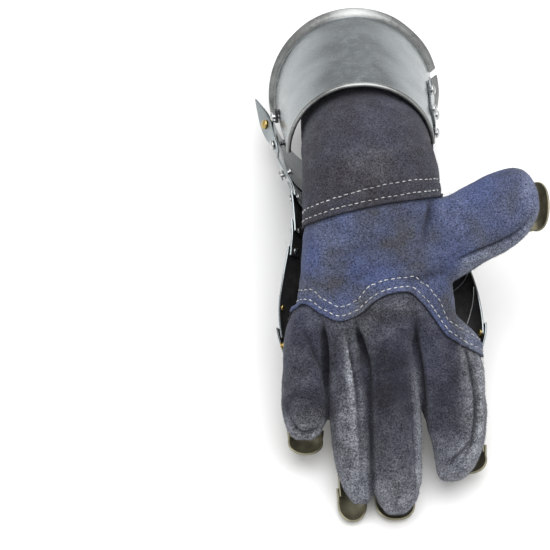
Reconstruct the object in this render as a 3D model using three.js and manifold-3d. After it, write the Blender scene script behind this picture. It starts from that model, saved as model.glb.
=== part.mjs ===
// Armoured gauntlet: a suede glove inside a steel hourglass cuff with plates over the back of the hand.
// Millimetres, +Z up. The palm faces up, the fingers point along -Y, the thumb along +X.
// The gauntlet stands on the rim of its cuff and on the steel fingertips, as it lies on a table.
import * as THREE from 'three'
import Module from 'manifold-3d'

const wasm = await Module()
wasm.setup()

// ---------------------------------------------------------------- driving dimensions
const wristHeight = 84.5      // centre of the cuff's narrow end above the table
const cuffSlope = 30          // degrees that the cuff's axis falls from the wrist to the rim
const cuffLength = 90.8       // wrist end to rim, along the axis
const rimTilt = 15            // degrees that the rim's plane leans further than the wrist end's
const wristHalf = { x: 45.6, up: 43.6, down: 40 }
const rimHalf = { x: 60.1, up: 59.9, down: 61.5 }
const rimRise = 3.9           // the rim's centre lies this far to the palm side of the axis
const lip = { long: 3.6, out: 3.8, bead: 0.9 }
const wristBead = 1.5
const plate = 1.2             // steel thickness
const gap = 0.4               // between neighbouring pieces
const backPlateWider = 2.5    // the back plate stands out past the palm plate on the little-finger side
const suede = 2               // wall of the glove
const backOverlap = 6         // the back plate reaches this far under the first lame
const strapThick = 1.8
const shingle = 2.5           // rise of each lame over the next one along the hand
const rivet = { shank: 1.5, head: 3.3, dome: 2.0, tail: 2.5, tailHigh: 0.8 }
const holeRadius = rivet.shank + gap
const rivetSides = 6
const sleeveEnd = -50         // the sleeve reaches this far up inside the cuff
const centre = { x: 22.69, y: -49.66 }   // middle of the gauntlet's outline on the table

// The hand's mid-plane: slope in degrees (up towards the fingers) at each length from the wrist.
const bend = [
  { at: -120, slope: 30 },
  { at: 0, slope: 30 },
  { at: 22, slope: 6 },
  { at: 48, slope: -20 },
  { at: 64, slope: -27 },
  { at: 112, slope: -27 },
  { at: 142, slope: -23 },
  { at: 260, slope: -20 },
]

// Sleeve and palm: middle, half width, height above and depth below the mid-plane, squareness.
const trunk = [
  { at: sleeveEnd, x: 3.5, half: 41, up: 37, down: 33, square: 2.1 },
  { at: -20, x: 3.5, half: 41, up: 38, down: 33, square: 2.1 },
  { at: 0, x: 3, half: 41, up: 37, down: 30, square: 2.1 },
  { at: 9, x: 3, half: 41.2, up: 35, down: 28, square: 2.1 },
  { at: 20, x: 4.5, half: 42.5, up: 32, down: 26, square: 2.1 },
  { at: 40, x: 5, half: 42.5, up: 27, down: 22, square: 2.2 },
  { at: 60, x: 5, half: 43, up: 23, down: 20, square: 2.3 },
  { at: 80, x: 7, half: 45, up: 21, down: 19, square: 2.4 },
  { at: 100, x: 7.5, half: 47, up: 20, down: 18.5, square: 2.4 },
  { at: 116, x: 7, half: 50, up: 19, down: 18, square: 2.4 },
  { at: 130, x: 8.5, half: 54, up: 16, down: 14.5, square: 2.4 },
  { at: 142, x: 11, half: 56, up: 10, down: 9, square: 2.2 },
]

// Each finger: middle, half width, height and depth of the section, from the palm to the tip.
// The plates turn by roll degrees towards the thumb side, and lean that many mm by their end.
const fingers = [
  {
    name: 'little', roll: 0, lean: 0, scales: 3, last: 200.5,
    rows: [
      { at: 118, x: -34, half: 12, up: 13, down: 13 },
      { at: 136, x: -38, half: 12.3, up: 14, down: 12 },
      { at: 152, x: -37.5, half: 13, up: 13, down: 12 },
      { at: 170, x: -36.3, half: 14.3, up: 12, down: 11 },
      { at: 185, x: -36.5, half: 13, up: 11, down: 10 },
      { at: 193, x: -37, half: 9, up: 9, down: 8 },
      { at: 196.5, x: -37.5, half: 4, up: 5, down: 4 },
    ],
  },
  {
    name: 'ring', roll: 0, lean: 0, scales: 4, last: 241,
    rows: [
      { at: 118, x: -16, half: 14, up: 15, down: 13 },
      { at: 140, x: -14.5, half: 12.5, up: 15, down: 12 },
      { at: 165, x: -11.2, half: 11.5, up: 13, down: 12 },
      { at: 190, x: -9.6, half: 11.1, up: 12, down: 11 },
      { at: 215, x: -8, half: 10.6, up: 11, down: 10 },
      { at: 228, x: -6.5, half: 8.3, up: 9, down: 9 },
      { at: 234.5, x: -5.5, half: 4, up: 5, down: 5 },
    ],
  },
  {
    name: 'middle', roll: 0, lean: 0, scales: 4, last: 241,
    rows: [
      { at: 118, x: 8, half: 17, up: 17, down: 13 },
      { at: 140, x: 12.5, half: 16.5, up: 17, down: 12 },
      { at: 165, x: 16.5, half: 15.5, up: 15, down: 12 },
      { at: 190, x: 17.8, half: 15, up: 13, down: 11 },
      { at: 215, x: 18.3, half: 14.7, up: 12, down: 10 },
      { at: 229, x: 18.5, half: 11, up: 10, down: 9 },
      { at: 236, x: 18.5, half: 5, up: 6, down: 5 },
    ],
  },
  {
    name: 'index', roll: 10, lean: 8, scales: 3, last: 214.5,
    rows: [
      { at: 118, x: 42, half: 16, up: 13, down: 12 },
      { at: 136, x: 53, half: 20, up: 14, down: 12 },
      { at: 152, x: 52.5, half: 21, up: 14, down: 12 },
      { at: 175, x: 56, half: 18.5, up: 13, down: 12 },
      { at: 195, x: 57.5, half: 15.5, up: 12, down: 11 },
      { at: 208, x: 55, half: 11, up: 10, down: 9 },
      { at: 215.5, x: 53, half: 5, up: 6, down: 5 },
    ],
  },
]

// Thumb, in planes across X: middle along the hand, half width, height, depth, lift of its mid-plane.
const thumb = [
  { x: 22, at: 72, half: 22, up: 12, down: 11, lift: 0 },
  { x: 50, at: 70.2, half: 27.3, up: 15, down: 13, lift: 2 },
  { x: 62, at: 64.8, half: 26.3, up: 15, down: 13, lift: 4 },
  { x: 77, at: 57.4, half: 25, up: 15, down: 13, lift: 6 },
  { x: 90, at: 51.3, half: 23.3, up: 14, down: 12, lift: 7 },
  { x: 100, at: 48.2, half: 20, up: 12, down: 11, lift: 8 },
  { x: 106.5, at: 48.6, half: 14, up: 9.5, down: 9, lift: 8.5 },
  { x: 110.5, at: 49.5, half: 7, up: 5.5, down: 5, lift: 9 },
]
const thumbScales = { count: 3, first: 60, last: 115 }
const scalesFrom = 145         // the finger scales start here, at the knuckle plate's edge

// The back of the gauntlet from the cuff to the knuckles. Each side edge lies at a length from the
// wrist and a height over the hand's mid-plane; the keel, at a distance along Y and a height.
const back = [
  { left: -52, leftAt: [-12, 0], right: 47, rightAt: [-12, 0], keel: [-9.8, 43.4] },
  { left: -50.6, leftAt: [0, 0], right: 45.6, rightAt: [0, 0], keel: [-21, 49] },
  { left: -43.5, leftAt: [30, 0], right: 46.5, rightAt: [28, -4], keel: [-32, 48] },
  { left: -42.5, leftAt: [57, -2], right: 50, rightAt: [47, -15], keel: [-45, 48] },
  { left: -45, leftAt: [74, -3], right: 58, rightAt: [66, -19], keel: [-57, 48] },
  { left: -49, leftAt: [92, -2], right: 68, rightAt: [86, -19], keel: [-73.5, 41.5] },
  { left: -52, leftAt: [110, -2], right: 73.5, rightAt: [106, -12], keel: [-90, 32.5] },
  { left: -51.5, leftAt: [127, -5], right: 75.5, rightAt: [124, -8], keel: [-109.5, 26] },
  { left: -48.8, leftAt: [141, -8], right: 73, rightAt: [139, -9], keel: [-125, 23.5] },
]
// Lames and plates over that surface: the rows of the table above that each reaches from and to.
const lapped = 0.2
const backPieces = [
  { name: 'wrist_lame_1', from: 0.55, to: 2 + lapped },
  { name: 'wrist_lame_2', from: 2 - lapped, to: 3 + lapped },
  { name: 'wrist_lame_3', from: 3 - lapped, to: 4 + lapped },
  { name: 'hand_plate', from: 4 - lapped, to: 6.9 + lapped },
  { name: 'knuckle_plate', from: 6.9 - lapped, to: 8 },
]
const backSteps = 12
const backTrim = 9             // degrees from the widest line down to the plates' side edges
const squareBack = { cuff: 2.05, knuckles: 2.6 }
const pivotTurn = 22           // degrees round the back from its widest line to the pivot rivets
const pivotStack = 1.95        // from the back's surface to the middle of the two riveted plates

// The hinge on the thumb side: from and to along the cuff, degrees of each leaf round the cuff.
const hinge = {
  from: 25, to: 59, leaf: 14, clear: 3.3, knuckle: 1.7, hole: 1.05, pin: 0.7, rivetTurn: 9.5,
  palmKnuckles: [[25, 34], [50, 59]],
  backKnuckles: [[34, 50]],
}
// The closing leaf: its root on the back plate and its point past the palm plate's edge.
const leaf = { root: [50, 3.4, 206], point: [91, 9, 183], half: 6.3, rivets: [0.12, 0.5] }
const strap = { half: 4.5, on: [70, 182.5] }

// ---------------------------------------------------------------- materials
const steelBright = new THREE.MeshStandardMaterial({ color: 0xb9bdbb, roughness: 0.3, metalness: 1 })
const steelDark = new THREE.MeshStandardMaterial({ color: 0x2b2a27, roughness: 0.5, metalness: 0.8 })
const brass = new THREE.MeshStandardMaterial({ color: 0xb59a4d, roughness: 0.35, metalness: 1 })
const suedeBlue = new THREE.MeshStandardMaterial({ color: 0x4e5263, roughness: 1, metalness: 0 })
const suedeGrey = new THREE.MeshStandardMaterial({ color: 0x4b4a4e, roughness: 1, metalness: 0 })
const blackLeather = new THREE.MeshStandardMaterial({ color: 0x17171a, roughness: 0.7, metalness: 0 })

// ---------------------------------------------------------------- small helpers
const radians = THREE.MathUtils.degToRad
const mix = THREE.MathUtils.lerp
const across = new THREE.Vector3(1, 0, 0)

// Value of a column between two rows of a table, eased so that sections blend smoothly.
function between(rows, key, at, column) {
  const last = rows.length - 1
  if (at <= rows[0][key]) return rows[0][column]
  if (at >= rows[last][key]) return rows[last][column]
  const i = rows.findIndex((row) => row[key] > at) - 1
  const t = (at - rows[i][key]) / (rows[i + 1][key] - rows[i][key])
  return mix(rows[i][column], rows[i + 1][column], t)
}

// A point of a superellipse with unit half axes; square 2 is a circle and more is boxier.
function roundedSquare(turn, square) {
  const bow = (v) => Math.sign(v) * Math.abs(v) ** (2 / square)
  return { c: bow(Math.cos(turn)), s: bow(Math.sin(turn)) }
}

// A closed body: the profile's points, placed at each station, joined side by side and capped.
function sweep(outline, stations, place, capFaces = flatCap) {
  const profile = THREE.ShapeUtils.isClockWise(outline) ? outline.slice().reverse() : outline
  const n = profile.length
  const positions = []
  for (const station of stations) {
    for (const point of profile) positions.push(...place(point, station).toArray())
  }
  const faces = []
  for (let k = 0; k + 1 < stations.length; k++) {
    for (let i = 0; i < n; i++) {
      const a = k * n + i
      const b = k * n + ((i + 1) % n)
      faces.push([a, b, b + n], [a, b + n, a + n])
    }
  }
  const end = (stations.length - 1) * n
  for (const [a, b, c] of capFaces(profile)) {
    faces.push([a, c, b], [end + a, end + b, end + c])
  }
  return outward(positions, faces)
}

const flatCap = (profile) => THREE.ShapeUtils.triangulateShape(profile, [])

// A plate's end face is cut between its two skins at every stop, so that it may curve.
function plateCap(profile) {
  const last = profile.length - 1
  const half = Math.floor(last / 2)
  return steps(half - 1).flatMap((_, i) => [[i, i + 1, last - i - 1], [i, last - i - 1, last - i]])
}

// The same closed body with every face turned outwards.
function outward(positions, faces) {
  const at = (i) => new THREE.Vector3().fromArray(positions, 3 * i)
  const volume = faces.reduce((sum, [a, b, c]) => sum + at(a).dot(at(b).cross(at(c))), 0)
  const outer = volume < 0 ? faces.map(([a, b, c]) => [a, c, b]) : faces
  const geometry = new THREE.BufferGeometry()
  geometry.setAttribute('position', new THREE.Float32BufferAttribute(positions, 3))
  geometry.setIndex(outer.flat())
  return geometry
}

// Rings of points joined into a tube with flat ends.
function loft(rings) {
  const n = rings[0].length
  const faces = []
  for (let k = 0; k + 1 < rings.length; k++) {
    for (let i = 0; i < n; i++) {
      const a = k * n + i
      const b = k * n + ((i + 1) % n)
      faces.push([a, b, b + n], [a, b + n, a + n])
    }
  }
  const end = (rings.length - 1) * n
  for (let i = 1; i + 1 < n; i++) faces.push([0, i + 1, i], [end, end + i, end + i + 1])
  return outward(rings.flat().flatMap((point) => point.toArray()), faces)
}

function solid(geometry) {
  const vertProperties = new Float32Array(geometry.attributes.position.array)
  const triVerts = new Uint32Array(geometry.index.array)
  const mesh = new wasm.Mesh({ numProp: 3, vertProperties, triVerts })
  mesh.merge()
  return new wasm.Manifold(mesh)
}

function surface(body) {
  const mesh = body.getMesh()
  const geometry = new THREE.BufferGeometry()
  geometry.setAttribute('position', new THREE.Float32BufferAttribute(mesh.vertProperties, 3))
  geometry.setIndex(Array.from(mesh.triVerts))
  return geometry
}

const steps = (count) => Array.from({ length: count + 1 }, (_, i) => i / count)

// The cut edge of a plate that reaches from 0 to 1, with a corner at each stop.
function platePath(stops, thick) {
  const inner = stops.map((v) => new THREE.Vector2(v, 0))
  const outer = stops.slice().reverse().map((v) => new THREE.Vector2(v, thick))
  return [...inner, ...outer]
}

function plateBody(stops, thick, count, place) {
  return solid(sweep(platePath(stops, thick), steps(count), place, plateCap))
}

// A lathe's solid along +Z, moved so that +Z points along the axis at the given point.
function turned(path, sides, point, axis) {
  const geometry = new THREE.LatheGeometry(path.map(([r, z]) => new THREE.Vector2(r, z)), sides)
  geometry.rotateX(Math.PI / 2)
  geometry.applyQuaternion(new THREE.Quaternion().setFromUnitVectors(new THREE.Vector3(0, 0, 1), axis))
  geometry.translate(point.x, point.y, point.z)
  return welded(geometry)
}

// Vertices that share a place become one, and triangles without area go.
function welded(geometry) {
  const source = geometry.attributes.position
  const keys = new Map()
  const positions = []
  const renumber = []
  for (let i = 0; i < source.count; i++) {
    const key = [source.getX(i), source.getY(i), source.getZ(i)].map((v) => Math.round(v * 1e4)).join()
    if (!keys.has(key)) {
      keys.set(key, positions.length / 3)
      positions.push(source.getX(i), source.getY(i), source.getZ(i))
    }
    renumber.push(keys.get(key))
  }
  const index = geometry.index ? Array.from(geometry.index.array) : [...renumber.keys()]
  const faces = []
  for (let i = 0; i < index.length; i += 3) {
    const [a, b, c] = [0, 1, 2].map((k) => renumber[index[i + k]])
    if (a !== b && b !== c && c !== a) faces.push([a, b, c])
  }
  return outward(positions, faces)
}

// ---------------------------------------------------------------- the hand's mid-plane
const spine = (() => {
  const start = bend[0].at
  const samples = [{ y: 0, z: 0 }]
  for (let at = start; at < bend[bend.length - 1].at; at++) {
    const slope = radians(between(bend, 'at', at + 0.5, 'slope'))
    const previous = samples[samples.length - 1]
    samples.push({ y: previous.y - Math.cos(slope), z: previous.z + Math.sin(slope) })
  }
  const wrist = samples[-start]
  return samples.map(({ y, z }) => ({ y: y - wrist.y, z: z - wrist.z + wristHeight }))
})()

// A point of the hand: length from the wrist, distance across, height over the mid-plane.
function handPoint(at, x, height) {
  const place = THREE.MathUtils.clamp(at - bend[0].at, 0, spine.length - 1.001)
  const i = Math.floor(place)
  const slope = radians(between(bend, 'at', at, 'slope'))
  const y = mix(spine[i].y, spine[i + 1].y, place - i)
  const z = mix(spine[i].z, spine[i + 1].z, place - i)
  return new THREE.Vector3(x, y + Math.sin(slope) * height, z + Math.cos(slope) * height)
}

// ---------------------------------------------------------------- glove
const trunkSides = 20
const fingerSides = 10

// The section at a row; the inner faces of the walls have fewer sides.
function ringOf(row, fullSides, square, wall, point) {
  const sides = wall ? fullSides - 2 : fullSides
  return steps(sides).slice(0, sides).map((u) => {
    const { c, s } = roundedSquare(u * 2 * Math.PI, square)
    const tall = (s > 0 ? row.up : row.down) - wall
    return point((row.half - wall) * c, tall * s)
  })
}

function trunkBody(wall) {
  const rows = trunk.map((row) => ({ ...row }))
  if (wall) {
    rows[0].at -= 1
    rows[rows.length - 1].at -= wall
  }
  return solid(loft(rows.map((row) =>
    ringOf(row, trunkSides, row.square, wall, (x, h) => handPoint(row.at, row.x + x, h)))))
}

function fingerBody(finger, wall) {
  const rows = finger.rows.map((row) => ({ ...row }))
  if (wall) rows[rows.length - 1].at -= wall
  return solid(loft(rows.map((row) =>
    ringOf(row, fingerSides, 2.2, wall, (x, h) => handPoint(row.at, row.x + x, h)))))
}

function thumbBody(wall) {
  const rows = thumb.map((row) => ({ ...row }))
  if (wall) rows[rows.length - 1].x -= wall
  return solid(loft(rows.map((row) =>
    ringOf(row, fingerSides + 2, 2.3, wall, (s, h) => handPoint(row.at - s, row.x, row.lift + h)))))
}

// A thin wall along a sewn line, standing through the whole glove. The line is in distance across
// and length from the wrist, and the wall follows the mid-plane's slope at the seam.
function seamCut(line, at) {
  const smooth = new THREE.SplineCurve(line.map(({ x, along }) => new THREE.Vector2(x, along - at)))
  const points = smooth.getPoints(16)
  const profile = [...points, ...points.slice().reverse().map((p) => new THREE.Vector2(p.x, p.y + gap))]
  const origin = handPoint(at, 0, 0)
  const slope = radians(between(bend, 'at', at, 'slope'))
  const forward = new THREE.Vector3(0, -Math.cos(slope), Math.sin(slope))
  const up = new THREE.Vector3(0, Math.sin(slope), Math.cos(slope))
  return solid(sweep(profile, [-70, 70], (p, height) =>
    origin.clone().addScaledVector(across, p.x).addScaledVector(forward, p.y).addScaledVector(up, height)))
}

const wristSeam = [
  { x: -80, along: 70 },
  { x: -37, along: 61.5 },
  { x: -15, along: 57 },
  { x: 9, along: 52.8 },
  { x: 30, along: 49.5 },
  { x: 44, along: 46 },
  { x: 80, along: 12 },
]
const fingerSeam = [
  { x: -80, along: 128 },
  { x: -46, along: 115 },
  { x: -38, along: 110.5 },
  { x: -27, along: 117 },
  { x: -16, along: 121.5 },
  { x: -5, along: 118 },
  { x: 5, along: 109.5 },
  { x: 14, along: 105 },
  { x: 25, along: 103.5 },
  { x: 34, along: 110 },
  { x: 42, along: 120 },
  { x: 50, along: 131 },
  { x: 90, along: 150 },
]

function gloveParts() {
  const outer = [thumbBody(0), ...fingers.map((f) => fingerBody(f, 0))]
    .reduce((body, more) => body.add(more), trunkBody(0))
  const inner = [thumbBody(suede), ...fingers.map((f) => fingerBody(f, suede))]
    .reduce((body, more) => body.add(more), trunkBody(suede))
  const shell = outer.subtract(inner)
  const pieces = shell.subtract(seamCut(wristSeam, 56)).subtract(seamCut(fingerSeam, 114)).decompose()
  const big = pieces.filter((body) => body.volume() > 500)
  const reach = (body) => (body.boundingBox().min[1] + body.boundingBox().max[1]) / 2
  return big.sort((a, b) => reach(b) - reach(a))
}

// ---------------------------------------------------------------- cuff
const cuffAxis = new THREE.Vector3(0, Math.cos(radians(cuffSlope)), -Math.sin(radians(cuffSlope)))
const cuffUp = new THREE.Vector3(0, Math.sin(radians(cuffSlope)), Math.cos(radians(cuffSlope)))
const wallEnd = cuffLength - lip.long

// A point of the cuff: mm from the wrist end, mm outside the wall's inner face, degrees round it
// from the thumb side over the palm side. wider moves the little-finger side out.
function cuffPoint(along, off, turn, wider = 0) {
  const t = along / cuffLength
  const flare = (key) => mix(wristHalf[key], rimHalf[key] - lip.out - lip.bead - plate, (along / wallEnd))
  const cos = Math.cos(radians(turn))
  const sin = Math.sin(radians(turn))
  const tilt = radians(rimTilt * t)
  const up = cuffUp.clone().multiplyScalar(Math.cos(tilt)).addScaledVector(cuffAxis, Math.sin(tilt))
  return new THREE.Vector3(0, 0, wristHeight)
    .addScaledVector(cuffAxis, along)
    .addScaledVector(cuffUp, rimRise * t)
    .addScaledVector(across, (flare('x') + wider + off) * cos - wider)
    .addScaledVector(up, (flare(sin > 0 ? 'up' : 'down') + off) * sin)
}

function arc(cx, cy, radius, from, to, count) {
  return steps(count).map((u) => {
    const turn = radians(mix(from, to, u))
    return new THREE.Vector2(cx + radius * Math.cos(turn), cy + radius * Math.sin(turn))
  })
}

// The cut edge of the cuff's wall: rolled bead at the wrist, plain wall, turned lip, beaded rim.
function cuffEdge(beaded) {
  const middles = [0.33, 0.67].map((u) => u * wallEnd)
  const start = beaded
    ? arc(-0.3, wristBead - 0.6, wristBead, -38, -346, 6)
    : [new THREE.Vector2(-backOverlap, 0), new THREE.Vector2(-backOverlap, plate)]
  const rim = arc(cuffLength, plate / 2 + lip.out, lip.bead, 130, -70, 4)
  return [
    ...start,
    ...middles.map((v) => new THREE.Vector2(v, plate)),
    new THREE.Vector2(wallEnd - 0.4, plate),
    ...rim,
    new THREE.Vector2(wallEnd + 0.5, 0),
    ...middles.slice().reverse().map((v) => new THREE.Vector2(v, 0)),
  ]
}

// One half of the cuff, between two turns at the wrist end and two at the rim.
function cuffHalf({ wrist, rim, beaded, wider, count }) {
  return solid(sweep(cuffEdge(beaded), steps(count), (p, u) => {
    const t = THREE.MathUtils.clamp(p.x / cuffLength, 0, 1)
    const turn = mix(mix(wrist[0], rim[0], t), mix(wrist[1], rim[1], t), u)
    return cuffPoint(p.x, p.y, turn, wider)
  }))
}

const palmHalf = { wrist: [6, 182], rim: [18, 196], beaded: true, wider: 0, count: 17 }
const backHalf = { wrist: [199, 361], rim: [199, 373], beaded: false, wider: backPlateWider, count: 15 }

// ---------------------------------------------------------------- plates over the back
function curveOf(pick) {
  return new THREE.CatmullRomCurve3(back.map(pick), false, 'catmullrom')
}
const leftEdge = curveOf((row) => handPoint(row.leftAt[0], row.left, row.leftAt[1]))
const rightEdge = curveOf((row) => handPoint(row.rightAt[0], row.right, row.rightAt[1]))
const keel = curveOf((row) => new THREE.Vector3((row.left + row.right) / 2, ...row.keel))

// A point of the back: row of the table, degrees round from the thumb side under the hand, mm out.
function backPoint(row, turn, off) {
  const t = row / (back.length - 1)
  const left = leftEdge.getPoint(t)
  const right = rightEdge.getPoint(t)
  const middle = left.clone().add(right).multiplyScalar(0.5)
  const side = right.clone().sub(middle)
  const down = keel.getPoint(t).sub(middle)
  const { c, s } = roundedSquare(radians(turn), mix(squareBack.cuff, squareBack.knuckles, t))
  return middle
    .addScaledVector(side.clone().normalize(), (side.length() + off) * c)
    .addScaledVector(down.clone().normalize(), (down.length() + off) * s)
}

// Its stops lie on the rows and where it overlaps its neighbours, so lapped faces stay parallel.
function backPlate({ from, to }) {
  const lap = 2 * lapped
  const rows = back.map((_, i) => i).filter((row) => row > from + lap * 1.5 && row < to - lap * 1.5)
  const stops = [from, from + lap, ...rows, to - lap, to].map((row) => (row - from) / (to - from))
  return plateBody(stops, plate, backSteps, (p, u) =>
    backPoint(mix(from, to, p.x), mix(backTrim, 180 - backTrim, u), shingle * (1 - p.x) + p.y))
}

// Outward direction of a surface given by two coordinates, at a place on it.
function outwardOf(point, u, v) {
  const step = 0.01
  const along = point(u + step, v).sub(point(u - step, v))
  const round = point(u, v + step).sub(point(u, v - step))
  return along.cross(round).normalize()
}

// ---------------------------------------------------------------- scales of the fingers and thumb
// A row of plates under a finger: each is a shallow trough over the next one's start, and the last
// closes like a spoon past the suede.
function scaleRow(name, { count, first, last, lean, trough }) {
  const length = (last - first) / (count + 1)
  return steps(count).map((_, i) => {
    const tip = i === count
    const from = first + (last - first) * (i / (count + 1))
    const to = tip ? last : from + length * 1.26
    const stops = tip ? [0, 0.26, 0.45, 0.65, 0.85, 1] : [0, 0.79, 1]
    const body = plateBody(stops, plate, 5, (p, u) => {
      const closing = tip ? Math.max((p.x - 0.4) / 0.6, 0) : 0
      const open = mix(scaleOpen, 4, closing)
      const shut = 180 - (lean ? scaleOpen : open)
      return trough(mix(from, to, p.x), mix(open, shut, u), scaleRise * (1 - p.x) + p.y, closing)
    })
    return { name: `${name}_scale_${i + 1}`, body }
  })
}

const sectionAt = (rows, key, at) =>
  Object.fromEntries(Object.keys(rows[0]).map((column) => [column, between(rows, key, at, column)]))

// How much of the full section is left where a tip closes, from 0 at full width to 1 at its end.
const tipClosing = (t) => Math.sqrt(Math.max(1 - (t * 0.97) ** 2.4, 0))
const scaleInset = -1.8
const scaleOpen = 40           // degrees from the finger's widest line to a plate's side edge
const scaleRise = 2.3          // each plate rises this much over the one before it
const underScale = strapThick + 4 * gap

function fingerTrough(finger) {
  const widest = finger.rows[finger.rows.length - 3]
  return (at, turn, off, closing) => {
    const row = sectionAt(finger.rows, 'at', Math.min(at, widest.at))
    const inset = finger.roll ? scaleInset / 3 : scaleInset
    const half = (row.half + inset) * tipClosing(closing) + off
    const deep = (row.down + underScale) * mix(1, tipClosing(closing), 0.5) + off
    const { c, s } = roundedSquare(radians(turn - finger.roll), 2.2)
    const lean = finger.lean * (at - scalesFrom) / (finger.last - scalesFrom)
    return handPoint(at, row.x + lean + half * c, -deep * s)
  }
}

function thumbTrough(at, turn, off, closing) {
  const [near, far] = [62, 96].map((x) => sectionAt(thumb, 'x', x))
  const t = (Math.min(at, 101) - near.x) / (far.x - near.x)
  const row = Object.fromEntries(Object.keys(near).map((key) => [key, mix(near[key], far[key], t)]))
  const half = (row.half + scaleInset) * tipClosing(closing) + off
  const deep = (row.down + underScale + 0.8) * mix(1, tipClosing(closing), 0.5) + off
  const { c, s } = roundedSquare(radians(turn), 2.2)
  return handPoint(row.at - half * c, at, row.lift - deep * s)
}

// The leather strip between a finger and its plates.
function stripUnder({ first, last, trough }) {
  const from = first + 2
  const to = mix(first, last, 0.78)
  return plateBody(steps(4), strapThick, 2, (p, u) =>
    trough(mix(from, to, p.x), mix(68, 112, u), p.y - strapThick - 1.5 * gap, 0))
}

// ---------------------------------------------------------------- rivets
// A domed rivet through a stack of plates: its middle, its axis, and its reach inwards and outwards.
function rivetBody({ point, axis, inside, outside }) {
  const end = -inside - rivet.tailHigh
  return solid(turned([
    [0, end], [rivet.tail, end], [rivet.tail, -inside], [rivet.shank, -inside], [rivet.shank, outside],
    [rivet.head, outside], [0, outside + rivet.dome],
  ], rivetSides, point, axis))
}

function rivetHole({ point, axis }) {
  const reach = 7
  return solid(turned([[0, -reach], [holeRadius, -reach], [holeRadius, reach], [0, reach]], rivetSides, point, axis))
}

// The pivots of the lames, where each plate crosses the next, on the left and the right side.
function pivotRivets() {
  const list = []
  for (const [i, row] of [1, 2, 3, 4].entries()) {
    for (const [side, turn] of [['left', 180 - pivotTurn], ['right', pivotTurn]]) {
      const at = (u, v) => backPoint(u, v, pivotStack)
      list.push({
        name: `lame_rivet_${side}_${i + 1}`,
        through: [row === 1 ? 'cuff_back_plate' : backPieces[row - 2].name, backPieces[row - 1].name],
        point: at(row, turn),
        axis: outwardOf(at, row, turn),
        inside: row === 1 ? 4.1 : 2.5,
        outside: 2.3,
      })
    }
  }
  return list
}

// ---------------------------------------------------------------- hinge of the cuff
// The line between the two halves on the thumb side, in degrees round the cuff.
function hingeTurn(along) {
  const t = along / cuffLength
  return mix((palmHalf.wrist[0] + backHalf.wrist[1] - 360) / 2, (palmHalf.rim[0] + backHalf.rim[1] - 360) / 2, t)
}
const hingePoint = (along) => cuffPoint(along, plate, hingeTurn(along), backPlateWider / 2)
const hingeAxis = hingePoint(hinge.to).sub(hingePoint(hinge.from))
const hingeStretch = hingeAxis.length() / (hinge.to - hinge.from)
hingeAxis.normalize()

function hingeKnuckle(from, to) {
  const length = (to - from) * hingeStretch - gap
  const start = hingePoint(hinge.from).addScaledVector(hingeAxis, (from - hinge.from) * hingeStretch)
  const { knuckle, hole } = hinge
  return solid(turned([[hole, 0], [knuckle, 0], [knuckle, length], [hole, length], [hole, 0]], 6, start, hingeAxis))
}

function hingeLeaf(side, wider, knuckles) {
  const band = (from, to, near, far) => plateBody([0, 1], plate, 2, (p, u) => {
    const along = mix(from, to - gap, p.x)
    return cuffPoint(along, plate + gap + p.y, hingeTurn(along) + side * mix(near, far, u), wider)
  })
  const bore = solid(turned([[0, -5], [hinge.hole, -5], [hinge.hole, 50], [0, 50]], 6, hingePoint(hinge.from), hingeAxis))
  return knuckles
    .reduce((all, [from, to]) => all.add(band(from, to, 1, hinge.clear + 1)).add(hingeKnuckle(from, to)),
      band(hinge.from, hinge.to, hinge.clear, hinge.leaf))
    .subtract(bore)
}

function hingeRivets() {
  const list = []
  for (const [part, side, wider] of [['palm', 1, 0], ['back', -1, backPlateWider]]) {
    for (const [i, along] of [hinge.from + 5, hinge.to - 6].entries()) {
      const at = (u, v) => cuffPoint(u, plate + gap / 2, v, wider)
      const turn = hingeTurn(along) + side * hinge.rivetTurn
      list.push({
        name: `hinge_rivet_${part}_${i + 1}`,
        through: [`cuff_${part}_plate`, `hinge_leaf_${part}`],
        point: at(along, turn),
        axis: outwardOf(at, along, turn),
        inside: plate + 2 * gap,
        outside: plate + 2 * gap,
      })
    }
  }
  return list
}

// ---------------------------------------------------------------- closing leaf and strap
const onBack = ([along, off, turn]) => cuffPoint(along, off, turn, backPlateWider)
const leafRoot = onBack(leaf.root)
const leafAxis = onBack(leaf.point).sub(leafRoot)
const leafLong = leafAxis.length()
leafAxis.normalize()
const leafMiddle = leaf.root.map((v, i) => mix(v, leaf.point[i], 0.6))
const leafOut = outwardOf((u, v) => onBack([u, leafMiddle[1], v]), leafMiddle[0], leafMiddle[2])
leafOut.addScaledVector(leafAxis, -leafOut.dot(leafAxis)).normalize()
const leafSide = leafOut.clone().cross(leafAxis)
const leafPoint = (u, side, out) => leafRoot.clone()
  .addScaledVector(leafAxis, u * leafLong).addScaledVector(leafSide, side).addScaledVector(leafOut, out)

function closingLeaf() {
  const rim = [[-0.06, 0.45], [0.05, 0.85], [0.3, 1], [0.55, 0.92], [0.8, 0.5], [0.93, 0.2]]
  const outline = [
    ...rim.map(([u, w]) => new THREE.Vector2(u * leafLong, -w * leaf.half)),
    new THREE.Vector2(leafLong, 0),
    ...rim.slice().reverse().map(([u, w]) => new THREE.Vector2(u * leafLong, w * leaf.half)),
  ]
  return solid(sweep(outline, [0, plate], (p, out) => leafPoint(p.x / leafLong, p.y, out)))
}

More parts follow.
